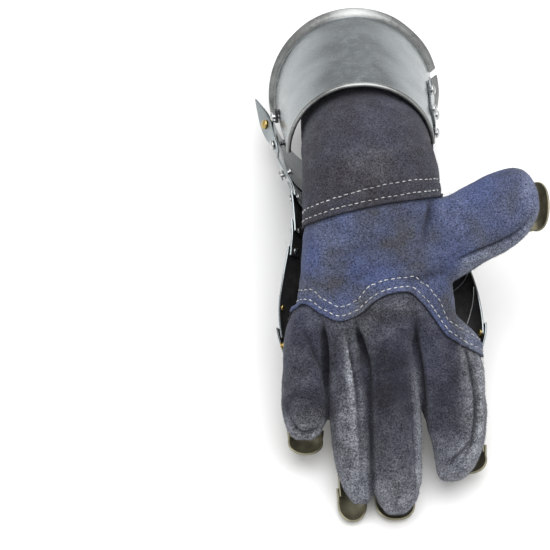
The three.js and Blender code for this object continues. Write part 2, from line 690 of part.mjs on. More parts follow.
// The strap lies under the leaf, bridges to the palm plate and lies on that.
function closingStrap() {
  const [along, turn] = strap.on
  const low = plate + 1.5 * gap + strapThick / 2
  const onPalm = (u, v) => cuffPoint(u, low, v)
  const palmOut = outwardOf(onPalm, along, turn)
  const palmWay = onPalm(along, turn - 1).sub(onPalm(along, turn)).normalize()
  const leafWay = palmWay.clone().addScaledVector(leafOut, -palmWay.dot(leafOut)).normalize()
  const pinned = leafPoint(leaf.rivets[1], 0, -gap - strapThick / 2)
  const stations = [
    ...[-4.2, 3].map((far) => ({ at: pinned.clone().addScaledVector(leafWay, far), way: leafWay, out: leafOut })),
    ...[4, -5].map((past) => ({ at: onPalm(along, turn + past), way: palmWay, out: palmOut })),
  ]
  const corners = [[-1, -1], [1, -1], [1, 1], [-1, 1]].map(([x, y]) => new THREE.Vector2(x, y))
  return solid(sweep(corners, stations, (p, { at, way, out }) => at.clone()
    .addScaledVector(way.clone().cross(out).normalize(), p.x * strap.half)
    .addScaledVector(out, p.y * strapThick / 2)))
}

function closingRivets() {
  const [first, second] = leaf.rivets
  const [along, turn] = strap.on
  const onPalm = (u, v) => cuffPoint(u, plate + (gap + strapThick) / 2, v)
  return [
    {
      name: 'closing_rivet_steel', through: ['cuff_back_plate', 'closing_leaf'],
      point: leafPoint(first, 0, 0), axis: leafOut, inside: 6, outside: plate + gap,
    },
    {
      name: 'closing_rivet_brass', through: ['closing_leaf', 'closing_strap'],
      point: leafPoint(second, 0, 0), axis: leafOut, inside: strapThick + 3 * gap, outside: plate + gap,
    },
    {
      name: 'closing_rivet_palm', through: ['cuff_palm_plate', 'closing_strap'],
      point: onPalm(along, turn), axis: outwardOf(onPalm, along, turn), inside: 3.2, outside: 2.8,
    },
  ]
}

// ---------------------------------------------------------------- assembly
const table = solid(sweep(
  [[-300, -300], [300, -300], [300, 300], [-300, 300]].map(([x, y]) => new THREE.Vector2(x, y)),
  [-50, 0],
  (p, z) => new THREE.Vector3(p.x, p.y, z),
))

const [sleeve, palm, fingerPanel] = gloveParts()
const pieces = new Map([
  ['glove_sleeve', { body: sleeve, material: suedeGrey }],
  ['glove_palm_and_thumb', { body: palm, material: suedeBlue }],
  ['glove_fingers', { body: fingerPanel, material: suedeBlue }],
  ['cuff_palm_plate', { body: cuffHalf(palmHalf), material: steelBright }],
  ['cuff_back_plate', { body: cuffHalf(backHalf).subtract(table), material: steelBright }],
  ['hinge_leaf_palm', { body: hingeLeaf(1, 0, hinge.palmKnuckles), material: steelBright }],
  ['hinge_leaf_back', { body: hingeLeaf(-1, backPlateWider, hinge.backKnuckles), material: steelBright }],
  ['closing_leaf', { body: closingLeaf(), material: steelBright }],
  ['closing_strap', { body: closingStrap(), material: blackLeather }],
])
const hingeLong = (hinge.to - hinge.from) * hingeStretch
pieces.set('hinge_pin', {
  body: solid(turned([[0, 0], [hinge.pin, 0], [hinge.pin, hingeLong], [0, hingeLong]],
    6, hingePoint(hinge.from), hingeAxis)),
  material: steelBright,
})
for (const item of backPieces) pieces.set(item.name, { body: backPlate(item), material: steelBright })

const rows = fingers.map((finger) => ({
  name: finger.name,
  count: finger.scales,
  first: scalesFrom,
  last: finger.last,
  lean: finger.lean,
  trough: fingerTrough(finger),
}))
rows.push({ name: 'thumb', ...thumbScales, lean: 0, trough: thumbTrough })
for (const row of rows) {
  for (const { name, body } of scaleRow(row.name, row)) {
    pieces.set(name, { body: body.subtract(table), material: steelDark })
  }
  pieces.set(`${row.name}_strip`, { body: stripUnder(row), material: blackLeather })
}

for (const item of [...pivotRivets(), ...hingeRivets(), ...closingRivets()]) {
  for (const name of item.through) {
    const piece = pieces.get(name)
    piece.body = piece.body.subtract(rivetHole(item))
  }
  pieces.set(item.name, { body: rivetBody(item), material: item.name.includes('brass') ? brass : steelBright })
}

const group = new THREE.Group()
group.position.set(-centre.x, -centre.y, 0)
for (const [name, { body, material }] of pieces) {
  const mesh = new THREE.Mesh(surface(body), material)
  mesh.name = name
  group.add(mesh)
}

export default group
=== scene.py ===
# The looks of an armoured gauntlet: a suede glove, a steel cuff and plates over the back of the hand.
# Lengths are in millimetres until a mesh is made. Blender's own unit is the metre, +Z up.
import math
import random

import bpy
import numpy as np
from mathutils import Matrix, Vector, noise
from mathutils.bvhtree import BVHTree


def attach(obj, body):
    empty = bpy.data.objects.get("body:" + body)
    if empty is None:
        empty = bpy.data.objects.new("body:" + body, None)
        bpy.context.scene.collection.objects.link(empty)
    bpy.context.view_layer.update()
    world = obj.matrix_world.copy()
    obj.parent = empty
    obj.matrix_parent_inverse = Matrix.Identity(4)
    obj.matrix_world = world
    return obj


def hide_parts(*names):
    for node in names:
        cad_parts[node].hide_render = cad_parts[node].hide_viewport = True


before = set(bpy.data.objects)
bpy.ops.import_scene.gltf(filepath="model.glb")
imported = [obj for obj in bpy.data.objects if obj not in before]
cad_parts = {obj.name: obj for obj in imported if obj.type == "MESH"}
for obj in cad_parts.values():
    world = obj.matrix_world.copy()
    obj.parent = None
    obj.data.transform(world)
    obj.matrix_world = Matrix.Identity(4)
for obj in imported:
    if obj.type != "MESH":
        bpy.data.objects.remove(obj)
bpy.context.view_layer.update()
mm = 0.001
print("frame loaded")


# Smooth value at a place of a table, without overshoot.
def curveThrough(xs, ys, at):
    xs, ys = np.asarray(xs, float), np.asarray(ys, float)
    at = np.clip(np.asarray(at, float), xs[0], xs[-1])
    rise = np.diff(ys) / np.diff(xs)
    lean = np.zeros_like(ys)
    lean[0], lean[-1] = rise[0], rise[-1]
    same = rise[:-1] * rise[1:] > 0
    lean[1:-1] = np.where(same, 2 * rise[:-1] * rise[1:] / np.where(same, rise[:-1] + rise[1:], 1), 0)
    i = np.clip(np.searchsorted(xs, at, side="right") - 1, 0, len(xs) - 2)
    wide = xs[i + 1] - xs[i]
    t = (at - xs[i]) / wide
    return ((2 * t**3 - 3 * t**2 + 1) * ys[i] + (t**3 - 2 * t**2 + t) * wide * lean[i]
            + (3 * t**2 - 2 * t**3) * ys[i + 1] + (t**3 - t**2) * wide * lean[i + 1])


def column(table, key, name, at):
    return curveThrough(table[key], table[name], at)


def smoothStep(low, high, value):
    t = np.clip((value - low) / (high - low), 0, 1)
    return t * t * (3 - 2 * t)


# A point of a squared circle: 2 is a true circle, more is squarer.
def superPoint(turn, square):
    c, s = np.cos(turn), np.sin(turn)
    return np.sign(c) * np.abs(c) ** (2 / square), np.sign(s) * np.abs(s) ** (2 / square)


# The hand's mid-plane follows a bent spine from inside the cuff to the fingertips.
hand = {"wristHeight": 84.5, "centreX": 22.69, "centreY": -49.66, "firstAt": -120, "lastAt": 260}
bend = {"at": [-120, 0, 22, 48, 64, 112, 142, 260], "slope": [30, 30, 6, -20, -27, -27, -23, -20]}

spineAt = np.arange(hand["firstAt"], hand["lastAt"] + 1)
spineSlope = np.radians(np.interp(spineAt[:-1] + 0.5, bend["at"], bend["slope"]))
spineY = np.concatenate([[0], -np.cumsum(np.cos(spineSlope))])
spineZ = np.concatenate([[0], np.cumsum(np.sin(spineSlope))])
spineY -= spineY[-hand["firstAt"]]
spineZ += hand["wristHeight"] - spineZ[-hand["firstAt"]]


# From the length past the wrist, the distance across and the height over the mid-plane.
def handPoint(at, x, high):
    at, x, high = np.broadcast_arrays(np.asarray(at, float), x, high)
    slope = np.radians(np.interp(at, bend["at"], bend["slope"]))
    y = np.interp(at, spineAt, spineY) + np.sin(slope) * high
    z = np.interp(at, spineAt, spineZ) + np.cos(slope) * high
    return np.stack([x - hand["centreX"], y - hand["centreY"], z], axis=-1)


# The inverse of handPoint, for many points, a batch at a time.
def handPlace(points):
    y, z = points[:, 1] + hand["centreY"], points[:, 2]
    best = np.zeros(len(points))
    batch = 20000
    for start in range(0, len(points), batch):
        rows = slice(start, start + batch)
        far = (y[rows, None] - spineY[None]) ** 2 + (z[rows, None] - spineZ[None]) ** 2
        best[rows] = spineAt[np.argmin(far, axis=1)]
    slope = np.radians(np.interp(best, bend["at"], bend["slope"]))
    dy, dz = y - np.interp(best, spineAt, spineY), z - np.interp(best, spineAt, spineZ)
    at = best - dy * np.cos(slope) + dz * np.sin(slope)
    return at, points[:, 0] + hand["centreX"], dy * np.sin(slope) + dz * np.cos(slope)


# The cuff opens from the wrist to a tilted rim with a turned lip.
cuff = {
    "slope": 30, "length": 90.8, "rimTilt": 15, "rimRise": 3.9, "lipLong": 3.6, "lipOut": 3.8, "bead": 0.9,
    "wristBead": 1.5, "plate": 1.2, "gap": 0.4, "backWider": 2.5,
    "wristX": 45.6, "wristUp": 43.6, "wristDown": 40, "rimX": 60.1, "rimUp": 59.9, "rimDown": 61.5,
}
cuffAngle = math.radians(cuff["slope"])
cuffAxis = np.array([0, math.cos(cuffAngle), -math.sin(cuffAngle)])
cuffUp = np.array([0, math.sin(cuffAngle), math.cos(cuffAngle)])
wallEnd = cuff["length"] - cuff["lipLong"]


# From the length past the wrist end, the distance outside the inner face and the degrees
# from the thumb side over the palm side.
def cuffPoint(along, off, turn, wider=0.0):
    along, off, turn = np.broadcast_arrays(np.asarray(along, float), off, turn)
    t = along / cuff["length"]

    def flare(name):
        rim = cuff["rim" + name] - cuff["lipOut"] - cuff["bead"] - cuff["plate"]
        return cuff["wrist" + name] + (rim - cuff["wrist" + name]) * along / wallEnd

    cos, sin = np.cos(np.radians(turn)), np.sin(np.radians(turn))
    tilt = np.radians(cuff["rimTilt"] * t)[..., None]
    up = cuffUp * np.cos(tilt) + cuffAxis * np.sin(tilt)
    high = np.where(sin > 0, flare("Up"), flare("Down")) + off
    middle = np.array([-hand["centreX"], -hand["centreY"], hand["wristHeight"]])
    sideways = np.array([1, 0, 0]) * ((flare("X") + wider + off) * cos - wider)[..., None]
    return (middle + cuffAxis * along[..., None] + cuffUp * (cuff["rimRise"] * t)[..., None]
            + sideways + up * (high * sin)[..., None])


# The steel over the back of the hand: two side edges and a keel, row by row from the wrist.
back = {
    "left": [-52, -50.6, -43.5, -42.5, -45, -49, -52, -51.5, -48.8],
    "leftAt": [-12, 0, 30, 57, 74, 92, 110, 127, 141], "leftHigh": [0, 0, 0, -2, -3, -2, -2, -5, -8],
    "right": [47, 45.6, 46.5, 50, 58, 68, 73.5, 75.5, 73],
    "rightAt": [-12, 0, 28, 47, 66, 86, 106, 124, 139], "rightHigh": [0, 0, -4, -15, -19, -19, -12, -8, -9],
    "keelY": [-9.8, -21, -32, -45, -57, -73.5, -90, -109.5, -125],
    "keelZ": [43.4, 49, 48, 48, 48, 41.5, 32.5, 26, 23.5],
    "squareFirst": 2.05, "squareLast": 2.6,
}


# Smooth value between the rows of the back's table.
def alongRows(points, row):
    padded = np.vstack([2 * points[0] - points[1], points, 2 * points[-1] - points[-2]])
    row = np.clip(np.asarray(row, float), 0, len(points) - 1)
    i = np.minimum(np.floor(row).astype(int), len(points) - 2)
    t = (row - i)[..., None]
    p0, p1, p2, p3 = (padded[i + k] for k in range(4))
    return ((2 * t**3 - 3 * t**2 + 1) * p1 + (t**3 - 2 * t**2 + t) * (p2 - p0) / 2
            + (3 * t**2 - 2 * t**3) * p2 + (t**3 - t**2) * (p3 - p1) / 2)


leftEdge = handPoint(back["leftAt"], back["left"], back["leftHigh"])
rightEdge = handPoint(back["rightAt"], back["right"], back["rightHigh"])
keelX = (np.array(back["left"]) + np.array(back["right"])) / 2 - hand["centreX"]
keel = np.stack([keelX, np.array(back["keelY"]) - hand["centreY"], np.array(back["keelZ"])], axis=-1)


# From a row of the back's table, the degrees from the thumb side under the hand and the distance out.
def backPoint(row, turn, off):
    row, turn, off = np.broadcast_arrays(np.asarray(row, float), turn, off)
    left, right = alongRows(leftEdge, row), alongRows(rightEdge, row)
    middle = (left + right) / 2
    side, down = right - middle, alongRows(keel, row) - middle
    square = back["squareFirst"] + (back["squareLast"] - back["squareFirst"]) * row / (len(keel) - 1)
    c, s = superPoint(np.radians(turn), square)
    wide = np.linalg.norm(side, axis=-1, keepdims=True)
    deep = np.linalg.norm(down, axis=-1, keepdims=True)
    across = side / wide * (wide + off[..., None]) * c[..., None]
    return middle + across + down / deep * (deep + off[..., None]) * s[..., None]


def outwardOf(point, u, v):
    step = 0.01
    way = np.cross(point(u + step, v) - point(u - step, v), point(u, v + step) - point(u, v - step))
    return way / np.linalg.norm(way)


# Edges sharper than these many degrees are bevelled or stay crisp.
sharpFrom = {"bevel": 50, "plate": 48, "cuff": 50, "rivet": 40}


def newObject(name, points, faces, smooth=True):
    mesh = bpy.data.meshes.new(name)
    mesh.from_pydata([tuple(p) for p in (np.asarray(points) * mm).tolist()], [], [tuple(f) for f in faces])
    mesh.update()
    mesh.polygons.foreach_set("use_smooth", [smooth] * len(mesh.polygons))
    return addObject(name, mesh)


def addObject(name, data):
    obj = bpy.data.objects.new(name, data)
    bpy.context.scene.collection.objects.link(obj)
    return obj


def applyModifiers(obj):
    graph = bpy.context.evaluated_depsgraph_get()
    mesh = bpy.data.meshes.new_from_object(obj.evaluated_get(graph))
    obj.modifiers.clear()
    obj.data = mesh


def modify(obj, kind, **settings):
    change = obj.modifiers.new(kind.lower(), kind)
    for name, value in settings.items():
        setattr(change, name, value)


def finishPiece(obj, materials, slotName, *nodes):
    for material in materials:
        obj.data.materials.append(material)
    if nodes:
        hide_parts(*nodes)
    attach(obj, "root")


def sheetFaces(rows, columns, start=0, closed=False):
    wrap = columns if closed else columns - 1
    return [(start + i * columns + j, start + i * columns + (j + 1) % columns,
             start + (i + 1) * columns + (j + 1) % columns, start + (i + 1) * columns + j)
            for i in range(rows - 1) for j in range(wrap)]


# Points and faces of rings joined side by side, with flat ends.
def tube(rings):
    count, sides = rings.shape[:2]
    faces = sheetFaces(count, sides, closed=True)
    faces.append(tuple(range(sides))[::-1])
    faces.append(tuple((count - 1) * sides + j for j in range(sides)))
    return rings.reshape(-1, 3), faces


def tubeObject(name, rings):
    obj = newObject(name, *tube(rings))
    turnOutwards(obj.data)
    return obj


# A plate between two skins, where place(u, v, off) gives a skin. The inner one takes its own material.
def plateSheet(name, us, vs, place, thick, materials, bevel=0.28):
    u, v = np.meshgrid(us, vs, indexing="ij")
    inner, outer = place(u, v, 0.0), place(u, v, thick)
    rows, columns = u.shape
    total = rows * columns
    faces = [face[::-1] for face in sheetFaces(rows, columns)] + sheetFaces(rows, columns, total)
    innerCount = len(faces) // 2
    rim = [(0, j) for j in range(columns)] + [(i, columns - 1) for i in range(1, rows)]
    rim += [(rows - 1, j) for j in range(columns - 2, -1, -1)] + [(i, 0) for i in range(rows - 2, 0, -1)]
    ring = [i * columns + j for i, j in rim]
    faces += [(a, b, b + total, a + total) for a, b in zip(ring, ring[1:] + ring[:1])]
    points = np.concatenate([inner.reshape(-1, 3), outer.reshape(-1, 3)])
    obj = newObject(name, points, faces)
    obj.data.polygons.foreach_set("material_index", [1] * innerCount + [0] * (len(faces) - innerCount))
    for material in materials:
        obj.data.materials.append(material)
    turnOutwards(obj.data)
    angle = math.radians(sharpFrom["bevel"])
    modify(obj, "BEVEL", width=bevel * mm, segments=2, limit_method="ANGLE", angle_limit=angle)
    applyModifiers(obj)
    obj.data.polygons.foreach_set("use_smooth", [True] * len(obj.data.polygons))
    obj.data.set_sharp_from_angle(angle=math.radians(sharpFrom["plate"]))
    return obj


def turnOutwards(mesh):
    volume = 0.0
    mesh.calc_loop_triangles()
    for triangle in mesh.loop_triangles:
        a, b, c = (mesh.vertices[i].co for i in triangle.vertices)
        volume += a.dot(b.cross(c))
    if volume < 0:
        mesh.flip_normals()
        mesh.update()


# Gentle unevenness of each point, about -1 to 1, with lumps of the given size.
def ripple(points, size, seed):
    shift = Vector((seed * 7.3, seed * 3.1, seed * 5.7))
    flat = np.asarray(points).reshape(-1, 3)
    values = [noise.noise(Vector(p) / size + shift) for p in flat.tolist()]
    return np.array(values).reshape(np.asarray(points).shape[:-1])


def nodeGroup(name, sockets):
    tree = bpy.data.node_groups.new(name, "ShaderNodeTree")
    for way, kind, title, value in sockets:
        socket = tree.interface.new_socket(title, in_out=way, socket_type="NodeSocket" + kind)
        if value is not None:
            socket.default_value = value
    return tree, tree.nodes.new("NodeGroupInput").outputs, tree.nodes.new("NodeGroupOutput")


def addNode(tree, kind, inputs=None, **settings):
    made = tree.nodes.new("ShaderNode" + kind)
    for name, value in settings.items():
        setattr(made, name, value)
    for key, value in (inputs or {}).items():
        feed(tree, value, made.inputs[key])
    return made


def feed(tree, value, socket):
    if isinstance(value, bpy.types.NodeSocket):
        tree.links.new(value, socket)
    else:
        socket.default_value = value


def noiseOf(tree, place, scale, detail=3.0, rough=0.5, distort=0.0):
    inputs = {"Vector": place, "Scale": scale, "Detail": detail, "Roughness": rough, "Distortion": distort}
    return addNode(tree, "TexNoise", inputs).outputs["Fac"]


def spread(tree, value, low, high, toLow=0.0, toHigh=1.0):
    inputs = {"Value": value, "From Min": low, "From Max": high, "To Min": toLow, "To Max": toHigh}
    return addNode(tree, "MapRange", inputs).outputs["Result"]


def stretched(tree, place, rotation, scale):
    inputs = {"Vector": place, "Rotation": rotation, "Scale": scale}
    return addNode(tree, "Mapping", inputs).outputs["Vector"]


def blend(tree, factor, first, second):
    made = tree.nodes.new("ShaderNodeMix")
    made.data_type = "RGBA"
    for index, value in ((0, factor), (6, first), (7, second)):
        feed(tree, value, made.inputs[index])
    return made.outputs[2]


def sums(tree, way, a, b):
    return addNode(tree, "Math", {0: a, 1: b}, operation=way).outputs[0]


# Adds up values, each times its weight.
def weighted(tree, *terms):
    total = None
    for value, weight in terms:
        part = sums(tree, "MULTIPLY", value, weight)
        total = part if total is None else sums(tree, "ADD", total, part)
    return total


surfaceOutputs = [("OUTPUT", "Color", "Color", None), ("OUTPUT", "Float", "Height", None),
                  ("OUTPUT", "Float", "Roughness", None)]


# Suede: cloudy dye, paler where the wear mask is high (that mask also paints sheen on the steep sides),
# darker with painted shade where the shade mask is high, with a fine nap.
def suedeGroup():
    tree, start, end = nodeGroup("suedeNap", [
        ("INPUT", "Color", "Deep", (0.05, 0.052, 0.066, 1)),
        ("INPUT", "Color", "Main", (0.1, 0.107, 0.145, 1)),
        ("INPUT", "Color", "WearAndSheenTint", (0.3, 0.31, 0.32, 1)), ("INPUT", "Float", "WearAndSheen", 0.0),
        ("INPUT", "Float", "Shade", 0.0), *surfaceOutputs,
    ])
    place = addNode(tree, "TexCoord").outputs["Object"]
    clouds = noiseOf(tree, place, 26, 3, 0.5, 0.3)
    patches = noiseOf(tree, place, 110, 4, 0.55, 0.2)
    nap = noiseOf(tree, place, 900, 3, 0.7, 0.3)
    fibres = noiseOf(tree, place, 2300, 2, 0.7)
    tone = weighted(tree, (spread(tree, clouds, 0.34, 0.66), 0.75), (spread(tree, patches, 0.3, 0.7), 0.25))
    dyed = blend(tree, spread(tree, tone, 0.15, 0.85), start["Deep"], start["Main"])
    scuffed = sums(tree, "MULTIPLY", spread(tree, patches, 0.45, 0.75), 0.14)
    uneven = spread(tree, sums(tree, "ADD", patches, nap), 0.75, 1.25, 0.35, 1.25)
    wearAndSheen = sums(tree, "ADD", sums(tree, "MULTIPLY", start["WearAndSheen"], uneven), scuffed)
    wearAndSheenBlend = blend(tree, spread(tree, wearAndSheen, 0.0, 1.4), dyed, start["WearAndSheenTint"])
    grain = spread(tree, weighted(tree, (nap, 0.55), (fibres, 0.45)), 0.37, 0.63, 0.18, 2.05)
    lit = addNode(tree, "HueSaturation", {"Value": grain, "Color": wearAndSheenBlend}).outputs["Color"]
    # Painted shade: the shade mask darkens the colour towards near black in creases, seam grooves, gaps
    # between fingers and under tucked edges; it also holds the darker areas over the middle and index
    # fingers.
    feed(tree, blend(tree, start["Shade"], lit, (0.012, 0.012, 0.016, 1)), end.inputs["Color"])
    feed(tree, weighted(tree, (nap, 0.55), (fibres, 0.35), (patches, 0.5)), end.inputs["Height"])
    feed(tree, spread(tree, nap, 0.3, 0.7, 0.86, 1.0), end.inputs["Roughness"])
    return tree


# Steel, brass and smooth leather: cloudy and smudged, finely brushed, with scratches and specks.
def steelGroup():
    tree, start, end = nodeGroup("steelSurface", [
        ("INPUT", "Color", "Light", (0.6, 0.62, 0.61, 1)), ("INPUT", "Color", "Dull", (0.36, 0.38, 0.38, 1)),
        ("INPUT", "Float", "Smooth", 0.24), ("INPUT", "Float", "Rough", 0.42),
        ("INPUT", "Float", "Scratches", 0.5), *surfaceOutputs,
    ])
    place = addNode(tree, "TexCoord").outputs["Object"]
    clouds = noiseOf(tree, place, 30, 5, 0.6, 0.8)
    smudges = noiseOf(tree, place, 140, 6, 0.65, 0.5)
    lines = noiseOf(tree, stretched(tree, place, (0.5, 0, 0.2), (0.06, 1.0, 1.0)), 2600, 3, 0.6)
    crossed = noiseOf(tree, stretched(tree, place, (0.3, 0.7, 1.1), (0.05, 1.0, 1.0)), 700, 2, 0.5)
    scratch = sums(tree, "MULTIPLY", spread(tree, crossed, 0.64, 0.7), 0.5)
    specks = spread(tree, noiseOf(tree, place, 420, 3, 0.7), 0.66, 0.74)
    tone = spread(tree, weighted(tree, (clouds, 0.6), (smudges, 0.4)), 0.36, 0.62)
    plain = blend(tree, tone, start["Dull"], start["Light"])
    marks = sums(tree, "MULTIPLY", sums(tree, "MAXIMUM", scratch, specks), start["Scratches"])
    feed(tree, blend(tree, marks, plain, (0.16, 0.15, 0.13, 1)), end.inputs["Color"])
    feed(tree, weighted(tree, (lines, 0.6), (smudges, 0.4)), end.inputs["Height"])
    dull = weighted(tree, (smudges, 0.6), (lines, 0.4))
    feed(tree, spread(tree, dull, 0.35, 0.65, start["Smooth"], start["Rough"]), end.inputs["Roughness"])
    return tree


def surfaceMaterial(name, group, inputs, shader, bumpStrength, bumpDistance, masks):
    material = bpy.data.materials.new(name)
    material.use_nodes = True
    tree = material.node_tree
    principled = tree.nodes["Principled BSDF"]
    for key, value in shader.items():
        principled.inputs[key].default_value = value
    shared = tree.nodes.new("ShaderNodeGroup")
    shared.node_tree = group
    for key, value in inputs.items():
        shared.inputs[key].default_value = value
    for key, attribute in masks.items():
        mask = addNode(tree, "Attribute", attribute_name=attribute)
        tree.links.new(mask.outputs["Fac"], shared.inputs[key])
    bumpInputs = {"Strength": bumpStrength, "Distance": bumpDistance, "Height": shared.outputs["Height"]}
    bump = addNode(tree, "Bump", bumpInputs)
    tree.links.new(shared.outputs["Color"], principled.inputs["Base Color"])
    tree.links.new(shared.outputs["Roughness"], principled.inputs["Roughness"])
    tree.links.new(bump.outputs["Normal"], principled.inputs["Normal"])
    return material


suedeNap = suedeGroup()
steelSurface = steelGroup()
suedeShader = {"Specular IOR Level": 0.1, "Sheen Weight": 0.12, "Sheen Roughness": 0.4,
               "Sheen Tint": (0.78, 0.82, 0.92, 1)}
# Glove masks: wear that also paints sheen on the steep sides, and painted shade.
gloveMasks = {"WearAndSheen": "wearAndSheen", "Shade": "shade"}


def suedeOf(name, deep, main, wearAndSheen, shader, strength, distance, masks):
    inputs = {"Deep": (*deep, 1), "Main": (*main, 1), "WearAndSheenTint": (*wearAndSheen, 1)}
    return surfaceMaterial(name, suedeNap, inputs, shader, strength, distance, masks)


def gloveSuede(name, deep, main, wearAndSheen):
    return suedeOf(name, deep, main, wearAndSheen, suedeShader, 0.95, 0.001, gloveMasks)


def steelOf(name, light, dull, smooth, rough, strength, distance, shader=None, scratches=0.5):
    inputs = {"Light": (*light, 1), "Dull": (*dull, 1), "Smooth": smooth, "Rough": rough,
              "Scratches": scratches}
    return surfaceMaterial(name, steelSurface, inputs, shader or {"Metallic": 1.0}, strength, distance, {})


sleeveSuede = gloveSuede("sleeveSuede", (0.03, 0.028, 0.033), (0.04, 0.041, 0.056), (0.17, 0.17, 0.18))
palmSuede = gloveSuede("palmSuede", (0.048, 0.05, 0.062), (0.05, 0.065, 0.14), (0.195, 0.212, 0.265))
fingerSuede = gloveSuede("fingerSuede", (0.02, 0.02, 0.024), (0.038, 0.04, 0.06), (0.26, 0.27, 0.295))
threadGrey = suedeOf("threadGrey", (0.26, 0.26, 0.26), (0.46, 0.46, 0.46), (0.6, 0.6, 0.6),
                     {"Sheen Weight": 0.2}, 0.4, 0.0003, {})
napFibre = suedeOf("napFibre", (0.09, 0.092, 0.105), (0.17, 0.175, 0.2), (0.3, 0.3, 0.31),
                   {"Sheen Weight": 0.1}, 0.1, 0.0002, {})
brightSteel = steelOf("brightSteel", (0.27, 0.298, 0.308), (0.2, 0.222, 0.232), 0.17, 0.32, 0.12, 0.0002)
# A copy of the cuff steel with a lighter top tone, for the rolled lip, the beads and the inner edges: a
# painted highlight.
highlightSteel = steelOf("highlightSteel", (0.31, 0.318, 0.312), (0.2, 0.207, 0.203), 0.22, 0.4, 0.12, 0.0002)
# A darker, browner copy of the steel for the finger and thumb plates: painted shade and dark reflection,
# since they are the same polished steel as the cuff.
shadedSteel = steelOf("shadedSteel", (0.36, 0.34, 0.24), (0.2, 0.185, 0.13), 0.3, 0.55, 0.2, 0.0003,
                    {"Metallic": 0.85})
insideSteel = steelOf("insideSteel", (0.05, 0.05, 0.052), (0.02, 0.02, 0.022), 0.4, 0.65, 0.2, 0.0003,
                      {"Metallic": 0.6})
rivetSteel = steelOf("rivetSteel", (0.55, 0.56, 0.56), (0.34, 0.35, 0.35), 0.2, 0.34, 0.1, 0.0002,
                     scratches=0.3)
rivetBrass = steelOf("rivetBrass", (0.58, 0.43, 0.16), (0.32, 0.24, 0.1), 0.24, 0.4, 0.15, 0.0002)
blackLeather = steelOf("blackLeather", (0.03, 0.03, 0.032), (0.012, 0.012, 0.014), 0.45, 0.7, 0.6, 0.0004,
                       {"Specular IOR Level": 0.4})
print("materials built")

# The glove. Each table gives the middle line and the half sizes along one limb.
trunk = {
    "at": [-50, -20, 0, 9, 20, 40, 60, 80, 100, 116, 126, 134],
    "x": [3.5, 3.5, 3, 3, 4.5, 5, 5, 7, 7.5, 7, 8, 9],
    "half": [41, 41, 41, 41.2, 42.5, 42.5, 43, 45, 47, 49, 48, 42],
    "up": [37, 38, 37, 35, 32, 27, 23, 21, 20, 19, 15, 6],
    "down": [33, 33, 30, 28, 26, 22, 20, 19, 18.5, 18, 14, 6],
    "square": [2.1, 2.1, 2.1, 2.1, 2.1, 2.2, 2.3, 2.4, 2.4, 2.4, 2.4, 2.2],
}
fingers = {
    "little": {
        "at": [112, 136, 152, 170, 180, 186, 190, 192.5],
        "x": [-34, -38, -37.5, -36.3, -36.5, -37, -37.2, -37.5],
        "half": [11, 12.3, 13, 14.5, 13.4, 11, 8, 4.5], "up": [11, 14, 13, 12, 11, 9.5, 7.5, 4.5],
        "down": [13, 12, 12, 11, 10, 8, 6, 4],
    },
    "ring": {
        "at": [112, 140, 165, 190, 211, 223, 229, 232],
        "x": [-16, -14.5, -11.2, -9.4, -6.6, -4.6, -3.6, -3.2],
        "half": [13, 12.5, 11.7, 11.4, 10.5, 8.8, 6.2, 3.6], "up": [12, 15, 13, 12, 11, 9, 7, 4.5],
        "down": [13, 12, 12, 11, 10, 9, 6.5, 4.5],
    },
    "middle": {
        "at": [112, 140, 165, 190, 214, 228, 235, 238.5], "x": [8, 12.5, 16, 17.8, 18.3, 18.5, 18.5, 18.5],
        "half": [16, 16.5, 16, 15.4, 15, 12.6, 8.5, 5], "up": [13, 17, 15, 13, 12, 10, 8, 5],
        "down": [13, 12, 12, 11, 10, 9, 6.5, 4.5],
    },
    "index": {
        "at": [112, 136, 152, 175, 195, 208, 215, 218], "x": [38, 51, 50.5, 54.5, 56.5, 54.5, 52.5, 51.5],
        "half": [13, 21.5, 22.5, 20, 16, 12, 8.5, 5], "up": [11, 14, 14, 13, 12, 10, 8, 5],
        "down": [12, 12, 12, 12, 11, 9, 7, 4.5],
    },
}
thumb = {
    "x": [22, 50, 62, 77, 90, 96, 101.5, 105, 107],
    "at": [72, 70.2, 64.8, 57.4, 51.5, 49.5, 48.6, 48.6, 48.8],
    "half": [22, 27.3, 26.3, 25, 23, 20.5, 16, 10.5, 5], "up": [10, 15, 15, 15, 14, 12.8, 10.5, 7.5, 4],
    "down": [11, 13, 13, 13, 12, 11, 9, 6.5, 4], "lift": [0, 2, 4, 6, 7, 7.6, 8.2, 8.6, 8.8],
}
seams = {
    "wrist": {
        "x": [-80, -37, -15, 9, 30, 44, 80], "at": [70, 61.5, 57, 52.8, 49.5, 46, 12], "sewn": (-25, 205),
    },
    "finger": {
        "x": [-80, -46, -38, -27, -16, -5, 5, 14, 25, 34, 42, 50, 90],
        "at": [128, 115, 110.5, 117, 121.5, 118, 109.5, 105, 103.5, 110, 120, 131, 150], "sewn": (-12, 192),
    },
}
glove = {
    "voxel": 1.1, "smooth": 7, "wall": 1.4, "swell": 0.35, "mouthAt": -49.0, "under": 7.0,
    "edgeRaise": 0.5, "edgeWide": 16, "underSink": 1.3, "rows": [-3.0, -8.6], "rowDeep": 0.5, "rowWide": 1.1,
    "trunkStep": 2, "stations": 60, "trunkSides": 90, "fingerSides": 48, "thumbSides": 60,
    "fingerSquare": 2.15, "thumbSquare": 2.25,
}
lumps = [(0.9, 26, 1), (0.45, 11, 2), (0.16, 4.5, 3)]


def sectionRings(table, key, stations, sides, square, point):
    turns = np.linspace(0, 2 * math.pi, sides, endpoint=False)
    rings = []
    for station in stations:
        own = float(column(table, key, "square", station)) if "square" in table else square
        c, s = superPoint(turns, own)
        tall = np.where(s > 0, column(table, key, "up", station), column(table, key, "down", station))
        rings.append(point(station, column(table, key, "half", station) * c, tall * s))
    return np.array(rings)


def onHand(table):
    return lambda at, x, high: handPoint(at, column(table, "at", "x", at) + x, high)


def onThumb(x, aside, high):
    return handPoint(column(thumb, "x", "at", x) - aside, x, column(thumb, "x", "lift", x) + high)


